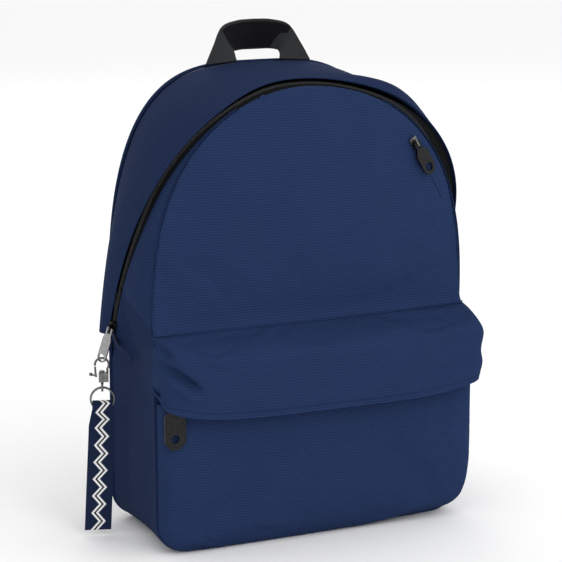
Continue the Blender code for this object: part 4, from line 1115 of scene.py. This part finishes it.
for name, side, body in (("pocket_coil_lower", -1, "bag"), ("pocket_coil_upper", 1, "pocket_flap")):
    path = []
    for k in range(int(2 * POCKET_TAPE_HALF / COIL_PITCH) * 4):
        x = -POCKET_TAPE_HALF + coil_at(k, side)
        y = pocket_tape_y(x) - POCKET_LOOP_LIFT[k % 4]
        path.append(Vector((x, y, POCKET_ZIP_Z + POCKET_LOOP_REACH[k % 4] * side)))
    coil = wire(name, path, COIL_WIRE, COIL_NYLON, sides=1)
    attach(coil, body)


# Chest pocket: a concealed zip behind the slit in the upper front, with navy tape.
# A thin pouch of grey lining is sewn behind it, on the inner face of the panel.
TAPE_NAVY = (0.012, 0.022, 0.058)
LINING_GREY = (0.030, 0.031, 0.034)
FLAP_TAPE = cloth_finish("navy_zip_tape", TAPE_NAVY, pitch=0.0012, shade=0.3, relief=0.0002)
LINING = cloth_finish("grey_lining", LINING_GREY, pitch=0.0010, shade=0.2, relief=0.0001)
CHEST_TAPE_HALF = 0.006
CHEST_TAPE_MORE = 0.004
CHEST_TAPE_BACK = Vector((0, 0.0019, 0))
POUCH_LEFT, POUCH_RIGHT, POUCH_LOW, POUCH_HIGH = 0.030, 0.140, 0.235, 0.368
POUCH_CLEAR = 0.009
POUCH_DEEP = 0.009
POUCH_BACK = 0.0053
POUCH_SQUARE = 14
POUCH_THICK = 0.0008

chest_run = CHEST_TOP - CHEST_LOW
chest_along = chest_run.normalized()
chest_across = Vector((chest_along.y, -chest_along.x))
rows = []
for q in spread(-SLIDER_LONG / 2 - CHEST_TAPE_MORE, chest_run.length + SLIDER_LONG / 2 + CHEST_TAPE_MORE, 30):
    row = []
    for s in spread(-CHEST_TAPE_HALF, CHEST_TAPE_HALF, 8):
        flat = CHEST_LOW + chest_along * q + chest_across * s
        row.append(upper_front_at(flat.x, flat.y) + CHEST_TAPE_BACK)
    rows.append(row)
tape = fabric("chest_tape", rows, FLAP_TAPE, inside=(0, 0.05, 0.3), thick=TAPE_THICK)
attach(tape, "front_flap")
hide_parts("chest_zip_tape")
sewn(tape)
rows = []
for v in reaches(20, 1.8):
    row = []
    for u in reaches(20, 1.8):
        z = (POUCH_LOW + POUCH_HIGH) / 2 + (POUCH_HIGH - POUCH_LOW) / 2 * v
        limit = front_seam(front_angle(z)).x - POUCH_CLEAR
        x = POUCH_LEFT + (min(POUCH_RIGHT, limit) - POUCH_LEFT) * (u + 1) / 2
        deep = POUCH_DEEP * (1 - u ** POUCH_SQUARE) * (1 - v ** POUCH_SQUARE)
        row.append(upper_front_at(x, z) + Vector((0, POUCH_BACK + deep, 0)))
    rows.append(row)
pouch = fabric("chest_pouch_lining", rows, LINING, inside=(0, -0.2, 0.3), thick=POUCH_THICK)
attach(pouch, "front_flap")
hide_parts("chest_pocket_pouch")
sewn(pouch)


# Back panel: black spacer mesh over padding, quilted into pads by sewn channels, with a bound edge.
# Inside it lie a foam sheet and the grey lining of the main compartment, held in the same seam.
MESH_BLACK = (0.020, 0.0205, 0.022)
FOAM_GREY = (0.25, 0.25, 0.26)
# The weave's painted rib shade is strong here and darkens the mesh's hollows.
BACK_MESH = cloth_finish("black_spacer_mesh", MESH_BLACK, pitch=0.0030, shade=0.5, relief=0.0009)
FOAM = cloth_finish("grey_foam", FOAM_GREY, pitch=0.004, shade=0.05, relief=0.0002)
BACK_FACE = 0.066
BACK_INSET = 0.0022
LEAST_HALF = 0.004
END_TRIM = 0.02
PADDING_THICK = 0.004
EDGE_DROP = 0.0075
EDGE_WIDE = 0.014
CHANNEL_WIDE = 0.007
CHANNEL_DEEP = 0.0050
CHANNEL_LEVELS = (0.115, 0.215, 0.305)
CHANNEL_SLOPE = 0.10
CHANNEL_FADE = (0.115, 0.135)
SPINE_START = (0.03, 0.07)
SPINE_END = (0.30, 0.335)
BINDING = 0.0019
BINDING_STEPS = 10
LAYER_INSET = 0.003
FOAM_THICK = 0.006
LINING_THICK = 0.0012


def back_half(z):
    """Half width of the back at a height."""
    if z < CORNER:
        return BACK_HALF - corner_inset(z)
    if z < ZIP_END_Z:
        return BACK_HALF
    rise = min((z - ZIP_END_Z) / (BACK_TOP - ZIP_END_Z), 1.0) ** (ARCH_RISE / 2)
    return BACK_HALF * max(math.cos(math.asin(rise)), 0.0) ** (2 / BACK_TURN)


def back_grid(inset, surface, count_z, count_x):
    """Rows of points over the outline of the back, inset from its edge, on a given surface."""
    rows = []
    low, high = inset, BACK_TOP - inset
    for k in range(count_z + 1):
        t = k / count_z
        z = low + (high - low) * (0.5 - 0.5 * math.cos(math.pi * (END_TRIM + (1 - 2 * END_TRIM) * t)))
        half = max(back_half(z) - inset, LEAST_HALF)
        rows.append([Vector((half * r, surface(half * r, z), z)) for r in reaches(count_x // 2, 1.5)])
    return rows


def back_surface(x, z):
    """Outer face of the padded back, drawn in at the edge and along the sewn channels."""
    edge = min(back_half(z) - abs(x), z, BACK_TOP - z)
    y = BACK_FACE - EDGE_DROP * (1 - smooth(0.0, EDGE_WIDE, edge))
    channel = math.exp(-(x / CHANNEL_WIDE) ** 2) * smooth(*SPINE_START, z) * (1 - smooth(*SPINE_END, z))
    for level in CHANNEL_LEVELS:
        slope = level - CHANNEL_SLOPE * abs(x)
        off = math.exp(-((z - slope) / CHANNEL_WIDE) ** 2)
        channel = max(channel, off * (1 - smooth(*CHANNEL_FADE, abs(x))))
    return y - CHANNEL_DEEP * channel


back = fabric("back_mesh_padding", back_grid(BACK_INSET, back_surface, 110, 90), BACK_MESH, thick=0.0)
wall = back.modifiers.new("padding", "SOLIDIFY")
wall.thickness = PADDING_THICK
wall.offset = -1
settle(back)
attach(back, "bag")
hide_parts("back_panel")
edge_path = [Vector((p.x, BACK_Y + BINDING, p.z)) for p in [back_seam(a) for a in arch_angles(0.0, 60)]]
for turn in spread(0, 90, BINDING_STEPS):
    reach = math.radians(turn)
    edge_path.append(Vector((-BACK_HALF + CORNER * (1 - math.cos(reach)), BACK_Y + BINDING,
                             BINDING + (CORNER - BINDING) * (1 - math.sin(reach)))))
edge_path += [Vector((-p.x, p.y, p.z)) for p in edge_path[:-BINDING_STEPS - 2:-1]]
binding = wire("back_edge_binding", edge_path + edge_path[:1], BINDING, SIDE_CANVAS, sides=3)
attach(binding, "bag")
for name, node_name, y, thick, finish, slot_name in (
        ("back_foam_sheet", "back_foam", BACK_Y - GAP, FOAM_THICK, FOAM, "foam"),
        ("back_lining_cloth", "back_lining", BACK_Y - 2 * GAP - FOAM_THICK, LINING_THICK, LINING,
         "grey_webbing")):
    piece = fabric(name, back_grid(LAYER_INSET, lambda x, z, y=y: y, 60, 40), finish, thick=thick)
    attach(piece, "bag")
    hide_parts(node_name)
    if node_name == "back_foam":
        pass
    else:
        sewn(piece)


# Grab handle: dark grey ribbed webbing, sewn flat into the top seam at both feet.
# Between its feet it twists on edge and stands across the top; a thin black sheet over the front of the grip
# paints the shade of its inner face.
WEBBING_GREY = (0.030, 0.031, 0.033)
# The weave's painted rib shade is strong here and darkens the webbing's grooves.
WEBBING = cloth_finish("grey_ribbed_webbing", WEBBING_GREY, pitch=0.0016, shade=0.55, relief=0.0005)
HANDLE_X = -0.0045
HANDLE_THICK = 0.0024
HANDLE_SKEW = 0.30
UPPER_EDGE = ((-0.053, 0.044, 0.4200), (-0.0445, 0.049, 0.4360), (-0.0345, 0.057, 0.4525),
              (-0.018, 0.066, 0.4572), (0.0, 0.069, 0.4580))
LOWER_EDGE = ((-0.022, 0.044, 0.4214), (-0.0235, 0.050, 0.4268), (-0.0230, 0.060, 0.4292),
              (-0.012, 0.070, 0.4300), (0.0, 0.073, 0.4300))
GRIP_ENDS = 31
GRIP_THICK = 0.0005
GRIP_OFFSET = Vector((0, -HANDLE_THICK - 0.0010, -0.0004))


def curve_through(points, count):
    """Smooth run through points, given as tuples."""
    knots = [Vector(p) for p in points]
    knots = [knots[0] * 2 - knots[1]] + knots + [knots[-1] * 2 - knots[-2]]
    run = []
    for k in range(1, len(knots) - 2):
        a, b, c, d = knots[k - 1:k + 3]
        for m in range(count):
            t = m / count
            run.append((b * 2 + (c - a) * t + (a * 2 - b * 5 + c * 4 - d) * t * t
                        + (b * 3 - a - c * 3 + d) * t ** 3) / 2)
    run.append(knots[-2])
    return run


def whole_band(points):
    """Edge of the whole handle from the points of its left half, skewed as it leans back."""
    half = curve_through(points, 16)
    whole = half + [Vector((-p.x, p.y, p.z)) for p in half[-2::-1]]
    return [p + Vector((HANDLE_X + HANDLE_SKEW * (p.y - half[0].y), 0, 0)) for p in whole]


edges = list(zip(whole_band(UPPER_EDGE), whole_band(LOWER_EDGE)))
rows = [[a.lerp(b, s) for a, b in edges] for s in spread(0.0, 1.0, 14)]
handle = fabric("handle_webbing", rows, WEBBING, inside=(0, 0.056, 0.43), thick=HANDLE_THICK)
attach(handle, "handle")
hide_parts("grab_handle")
sewn(handle)
# Painted shade: a thin black sheet just in front of the middle of the handle darkens the face that it turns
# forward.
grip_rows = [[point + GRIP_OFFSET for point in row[GRIP_ENDS:-GRIP_ENDS]] for row in rows[1:-1]]
grip = fabric("handle_grip_painted_shade", grip_rows, TAPE_CLOTH, inside=(0, 0.2, 0.43), thick=GRIP_THICK)
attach(grip, "handle")


# Shoulder straps: foam pads covered in side canvas, each with grey webbing at its lower end.
# The webbing runs down through a plastic adjuster to a canvas tab sewn to the back's bottom corner.
STRAP_WIDE = 0.058
STRAP_THICK = 0.013
PAD_WIDTHS = (0.040, 0.054, STRAP_WIDE, STRAP_WIDE, 0.052, 0.040)
PAD_THICKS = (0.006, 0.011, STRAP_THICK, STRAP_THICK, 0.012, 0.006)
PAD_SIDES = 36
PAD_FLAT = 0.4
PAD_ROUND = 0.7
PAD_MERGE = 1e-6
PAD_EDGE = math.radians(60)
PAD_PATH = ((0.052, BACK_FACE + 0.0120, 0.382), (0.056, BACK_FACE + 0.030, 0.354),
            (0.064, BACK_FACE + 0.050, 0.300), (0.076, BACK_FACE + 0.054, 0.235),
            (0.089, BACK_FACE + 0.043, 0.170), (0.098, BACK_FACE + 0.031, 0.130))
WEBBING_WIDE = 0.025
WEBBING_THICK = 0.0014
TAB_TOP = BACK_FACE + GAP + 0.003
TAB_THICK = 0.0026
TAB_DROP = 0.001
TAB_SQUARE = 6
TAB_OUTER_LOW, TAB_OUTER_HIGH = Vector((0.140, 0.026)), Vector((0.140, 0.080))
TAB_INNER_LOW, TAB_INNER_HIGH = Vector((0.103, 0.045)), Vector((0.103, 0.067))
WEB_PATH = ((0.0952, BACK_FACE + 0.0270, 0.142), (0.1005, BACK_FACE + 0.0185, 0.118),
            (0.109, BACK_FACE + 0.0132, 0.088), (0.116, TAB_TOP + 0.0046, 0.056))


def strap_axes(path, k):
    along = (path[min(k + 1, len(path) - 1)] - path[max(k - 1, 0)]).normalized()
    across = Vector((1, 0, 0))
    across = (across - along * across.dot(along)).normalized()
    return across, along.cross(across)


def pad_rings(path):
    """Rings of a soft pad along a path, each a flattened round."""
    rings = []
    last = len(path) - 1
    for k, point in enumerate(path):
        across, up = strap_axes(path, k)
        share = k / last * (len(PAD_WIDTHS) - 1)
        low = min(int(share), len(PAD_WIDTHS) - 2)
        wide = PAD_WIDTHS[low] + (PAD_WIDTHS[low + 1] - PAD_WIDTHS[low]) * (share - low)
        thick = PAD_THICKS[low] + (PAD_THICKS[low + 1] - PAD_THICKS[low]) * (share - low)
        ring = []
        for m in range(PAD_SIDES + 1):
            turn = 2 * math.pi * m / PAD_SIDES
            x = math.copysign(abs(math.cos(turn)) ** PAD_FLAT, math.cos(turn)) * wide / 2
            y = math.copysign(abs(math.sin(turn)) ** PAD_ROUND, math.sin(turn)) * thick / 2
            ring.append(point + across * x + up * y)
        rings.append(ring)
    return rings


def band(name, rings, material):
    """A closed band skinned over rings, capped at both ends."""
    middle = rings[len(rings) // 2]
    item = fabric(name, rings, material, inside=middle[0].lerp(middle[len(middle) // 2], 0.5), thick=0.0)
    bm = bmesh.new()
    bm.from_mesh(item.data)
    bmesh.ops.remove_doubles(bm, verts=bm.verts, dist=PAD_MERGE)
    bmesh.ops.holes_fill(bm, edges=[e for e in bm.edges if e.is_boundary])
    bmesh.ops.recalc_face_normals(bm, faces=bm.faces)
    bm.to_mesh(item.data)
    bm.free()
    item.data.set_sharp_from_angle(angle=PAD_EDGE)
    return item


for label, side in SIDES:
    body = "strap_" + label
    pad = [Vector((p.x * side, p.y, p.z)) for p in curve_through(PAD_PATH, 14)]
    strap = band("shoulder_strap_pad_" + label, pad_rings(pad), SIDE_CANVAS)
    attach(strap, body)
    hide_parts("shoulder_strap_" + label)
    web = [Vector((p.x * side, p.y, p.z)) for p in curve_through(WEB_PATH, 10)]
    rows = []
    for s in spread(-WEBBING_WIDE / 2, WEBBING_WIDE / 2, 10):
        rows.append([point + strap_axes(web, k)[0] * s for k, point in enumerate(web)])
    piece = fabric("strap_web_" + label, rows, WEBBING, inside=(0, 0, 0.1), thick=WEBBING_THICK)
    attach(piece, body)
    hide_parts("strap_webbing_" + label)
    sewn(piece)
    rows = []
    for t in spread(0.0, 1.0, 12):
        low = TAB_OUTER_LOW.lerp(TAB_INNER_LOW, t)
        high = TAB_OUTER_HIGH.lerp(TAB_INNER_HIGH, t)
        row = []
        for s in spread(0.0, 1.0, 12):
            flat = low.lerp(high, s)
            row.append(Vector((flat.x * side, TAB_TOP - TAB_DROP * abs(2 * s - 1) ** TAB_SQUARE, flat.y)))
        rows.append(row)
    tab = fabric("strap_tab_" + label, rows, SIDE_CANVAS, inside=(0, 0, 0.05), thick=TAB_THICK)
    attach(tab, "bag")
    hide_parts("lower_strap_tab_" + label)


# Strap yoke: a band of doubled side canvas across the upper back, which holds the tops of the straps.
# It is sewn down all round with two rows of navy stitches.
YOKE_WIDE, YOKE_TALL, YOKE_Z = 0.190, 0.050, 0.360
YOKE_Y = BACK_FACE + 0.0043
YOKE_THICK = 0.0036
YOKE_EDGE = 0.004
YOKE_DROP = 0.0016
YOKE_THREAD_Y = BACK_FACE + 0.0044
YOKE_ROWS = (0.005, 0.009)
YOKE_CORNERS = ((-1, -1), (1, -1), (1, 1), (-1, 1), (-1, -1))

rows = []
for z in spread(YOKE_Z - YOKE_TALL / 2, YOKE_Z + YOKE_TALL / 2, 24):
    row = []
    for x in spread(-YOKE_WIDE / 2, YOKE_WIDE / 2, 50):
        edge = min(YOKE_WIDE / 2 - abs(x), z - YOKE_Z + YOKE_TALL / 2, YOKE_Z + YOKE_TALL / 2 - z)
        row.append(Vector((x, YOKE_Y - YOKE_DROP * (1 - smooth(0.0, YOKE_EDGE, edge)), z)))
    rows.append(row)
for inset in YOKE_ROWS:
    right, top = YOKE_WIDE / 2 - inset, YOKE_TALL / 2 - inset
    ring = [Vector((sx * right, YOKE_THREAD_Y, YOKE_Z + sz * top)) for sx, sz in YOKE_CORNERS]
    stitches("yoke_stitches_%d" % round(inset * 1000), ring, "bag")
yoke = fabric("strap_yoke_canvas", rows, SIDE_CANVAS, inside=(0, 0, 0.3), thick=YOKE_THICK)
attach(yoke, "bag")
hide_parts("strap_yoke")


# Metal and plastic parts: satin gunmetal for sliders and dark pulls, nickel and silver for the lanyard.
# The plating is slightly blotched and brighter where it rubs, and the edges are a little rounded.
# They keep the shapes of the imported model. The strap adjusters are moulded black plastic.
GUNMETAL_DARK, GUNMETAL_WORN = (0.022, 0.022, 0.023), (0.034, 0.034, 0.036)
NICKEL_GREY, NICKEL_WORN = (0.13, 0.13, 0.132), (0.20, 0.20, 0.20)
SILVER_GREY, SILVER_WORN = (0.30, 0.30, 0.30), (0.38, 0.38, 0.38)
PLASTIC_BLACK, PLASTIC_WORN = (0.010, 0.010, 0.011), (0.014, 0.014, 0.015)
BLOTCH_SCALE = 420.0
GRAIN_SCALE = 2600.0
RUB_FROM = 0.42
RUB_GAIN = 3.0
GRAIN_ROUGH = 0.16
RUB_POLISH = 0.06
GRAIN_BUMP = 0.15
GRAIN_RELIEF = 0.00005
EDGE_ROUND = 0.00028


def make_plating():
    """Node group: plated metal colour and roughness, brighter and smoother where it rubs."""
    group, given, out = new_group(
        "worn_plating",
        [("Colour", "NodeSocketColor"), ("Worn", "NodeSocketColor"), ("Roughness", "NodeSocketFloat")],
        [("Colour", "NodeSocketColor"), ("Roughness", "NodeSocketFloat"), ("Height", "NodeSocketFloat")])
    place = group.nodes.new("ShaderNodeTexCoord").outputs["Object"]
    blotch = noise(group, place, BLOTCH_SCALE, detail=4.0)
    grain = noise(group, place, GRAIN_SCALE, detail=2.0)
    rub = maths(group, "MULTIPLY", maths(group, "SUBTRACT", blotch, RUB_FROM), RUB_GAIN)
    rub = node(group, "ShaderNodeClamp", in0=rub)
    mixed = group.nodes.new("ShaderNodeMix")
    mixed.data_type = "RGBA"
    group.links.new(rub, mixed.inputs["Factor"])
    group.links.new(given.outputs["Colour"], mixed.inputs[6])
    group.links.new(given.outputs["Worn"], mixed.inputs[7])
    group.links.new(mixed.outputs[2], out.inputs["Colour"])
    rough = maths(group, "ADD", given.outputs["Roughness"], maths(group, "MULTIPLY", grain, GRAIN_ROUGH))
    rough = maths(group, "SUBTRACT", rough, maths(group, "MULTIPLY", rub, RUB_POLISH))
    group.links.new(rough, out.inputs["Roughness"])
    group.links.new(grain, out.inputs["Height"])
    return group


PLATING = make_plating()


def metal_finish(name, colour, worn, rough, metallic=1.0):
    values = {"Colour": (*colour, 1), "Worn": (*worn, 1), "Roughness": rough}
    material, shader = group_finish(name, PLATING, values, GRAIN_BUMP, GRAIN_RELIEF)[:2]
    shader.inputs["Metallic"].default_value = metallic
    return material


GUNMETAL = metal_finish("satin_gunmetal", GUNMETAL_DARK, GUNMETAL_WORN, rough=0.36)
NICKEL = metal_finish("plated_nickel", NICKEL_GREY, NICKEL_WORN, rough=0.24)
SILVER = metal_finish("brushed_silver", SILVER_GREY, SILVER_WORN, rough=0.32)
PLASTIC = metal_finish("moulded_black_plastic", PLASTIC_BLACK, PLASTIC_WORN, rough=0.45, metallic=0.0)
METAL_NODES = {
    "main_zip_slider": GUNMETAL, "pocket_zip_slider": GUNMETAL, "pocket_zip_pull": GUNMETAL,
    "chest_zip_slider": NICKEL, "chest_zip_pull": GUNMETAL, "main_zip_pull": SILVER, "trigger_hook": NICKEL,
    "hook_gate": NICKEL, "swivel_eye": NICKEL, "split_ring": NICKEL,
    "strap_adjuster_left": PLASTIC, "strap_adjuster_right": PLASTIC}
for name, finish in METAL_NODES.items():
    piece = frame["nodes"][name]
    piece.data.materials.clear()
    piece.data.materials.append(finish)
    rounding = piece.modifiers.new("worn_edges", "BEVEL")
    rounding.width = EDGE_ROUND
    rounding.segments = 2
    rounding.limit_method = "ANGLE"
    rounding.angle_limit = SHARP_EDGE


# Lanyard ribbon: a navy woven ribbon printed with a broad zigzag of white, black and white.
# It is folded over the split ring, and its two legs are sewn together a little below the ring.
RIBBON_NAVY = (0.0105, 0.0185, 0.0480, 1)
ZIGZAG_WHITE = (0.80, 0.80, 0.80, 1)
ZIGZAG_BLACK = (0.012, 0.012, 0.014, 1)
ZIGZAG_HALF = 0.00805
ZIGZAG_SLOPE = 0.857
WHITE_HALF = 0.0033
BLACK_HALF = 0.00095
RIBBON_PITCH = 0.0006
# Painted shade in the ribbon's fine rib grooves.
RIBBON_PAINTED_RIB_SHADE = 0.2
RIBBON_BUMP = 0.4
RIBBON_RELIEF = 0.0001
RIBBON_GLOSS = 0.05
RIBBON_WIDE = 0.024
RIBBON_NECK = 0.018
NECK_SPREAD = (-0.004, 0.016)
RIBBON_THICK = 0.0005
RIBBON_LAYER = 0.0011
RIBBON_APART = 0.0006
RIBBON_LOOP = 0.0036
RIBBON_FOOT_Z = 0.0045
RIBBON_LEAN = math.radians(3.2)
RIPPLE = 0.0008
RIPPLE_RATE = 55
RING_RADIUS = 0.0106
RIBBON_TOP = RING_RADIUS * 0.92
SEAM_DROP = -0.0120
LOOP_STEPS = 12
HOOK_TURN = math.radians(-20)
JOINTS = {joint["name"]: joint for joint in frame["record"]["behaviour"]["joints"]}
ribbon_hang = Vector(JOINTS["ribbon_swing"]["pos_m"])
ribbon_frame = Matrix.Translation(ribbon_hang) @ Matrix.Rotation(HOOK_TURN, 4, "Z")


def ribbon_half(z):
    share = smooth(*NECK_SPREAD, -z)
    return (RIBBON_NECK + (RIBBON_WIDE - RIBBON_NECK) * share) / 2


def ribbon_finish():
    """The weave, with the zigzag laid over its colour by the distance from a line that swings."""
    values = {"Colour": RIBBON_NAVY, "Rib pitch": RIBBON_PITCH, "Rib shade": RIBBON_PAINTED_RIB_SHADE}
    material, shader, weave = group_finish("printed_ribbon", WEAVE, values, RIBBON_BUMP, RIBBON_RELIEF)
    tree = material.node_tree
    shader.inputs["Specular IOR Level"].default_value = RIBBON_GLOSS
    uv = node(tree, "ShaderNodeUVMap", uv_map="cloth")
    parts = tree.nodes.new("ShaderNodeSeparateXYZ")
    tree.links.new(uv, parts.inputs[0])
    swing = maths(tree, "PINGPONG", parts.outputs["Y"], ZIGZAG_HALF)
    swing = maths(tree, "MULTIPLY", maths(tree, "SUBTRACT", swing, ZIGZAG_HALF / 2), ZIGZAG_SLOPE)
    off = maths(tree, "ABSOLUTE", maths(tree, "SUBTRACT", parts.outputs["X"], swing))
    colour = weave.outputs["Colour"]
    for half, tint in ((WHITE_HALF, ZIGZAG_WHITE), (BLACK_HALF, ZIGZAG_BLACK)):
        layer = tree.nodes.new("ShaderNodeMix")
        layer.data_type = "RGBA"
        tree.links.new(maths(tree, "LESS_THAN", off, half), layer.inputs["Factor"])
        tree.links.new(colour, layer.inputs[6])
        layer.inputs[7].default_value = tint
        colour = layer.outputs[2]
    tree.links.new(colour, shader.inputs["Base Color"])
    return material


route = [(-RIBBON_APART, z) for z in spread(RIBBON_FOOT_Z - ribbon_hang.z, SEAM_DROP, 50)]
for share in spread(0.0, 1.0, 10)[1:]:
    route.append((-RIBBON_APART - RIBBON_LOOP * smooth(0.0, 1.0, share), SEAM_DROP * (1 - share)))
back_leg = [(-y, z) for y, z in route[::-1]]
centre = RIBBON_TOP - RIBBON_LOOP - RIBBON_LAYER
radius = RIBBON_LOOP + RIBBON_APART
for k in range(LOOP_STEPS + 1):
    turn = math.pi - math.pi * k / LOOP_STEPS
    route.append((radius * math.cos(turn), centre + radius * math.sin(turn)))
route += back_leg
rows = []
for y, z in route:
    lean = min(z, 0.0) * math.tan(RIBBON_LEAN)
    ripple = RIPPLE * math.sin(RIPPLE_RATE * z) * smooth(SEAM_DROP, 2 * SEAM_DROP, z)
    half = ribbon_half(z)
    rows.append([ribbon_frame @ Vector((s * half + lean, y + ripple, z)) for s in spread(-1, 1, 14)])
ribbon = fabric("ribbon_cloth", rows, ribbon_finish(), inside=ribbon_hang, thick=RIBBON_THICK)
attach(ribbon, "ribbon")
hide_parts("lanyard_ribbon")
sewn(ribbon)
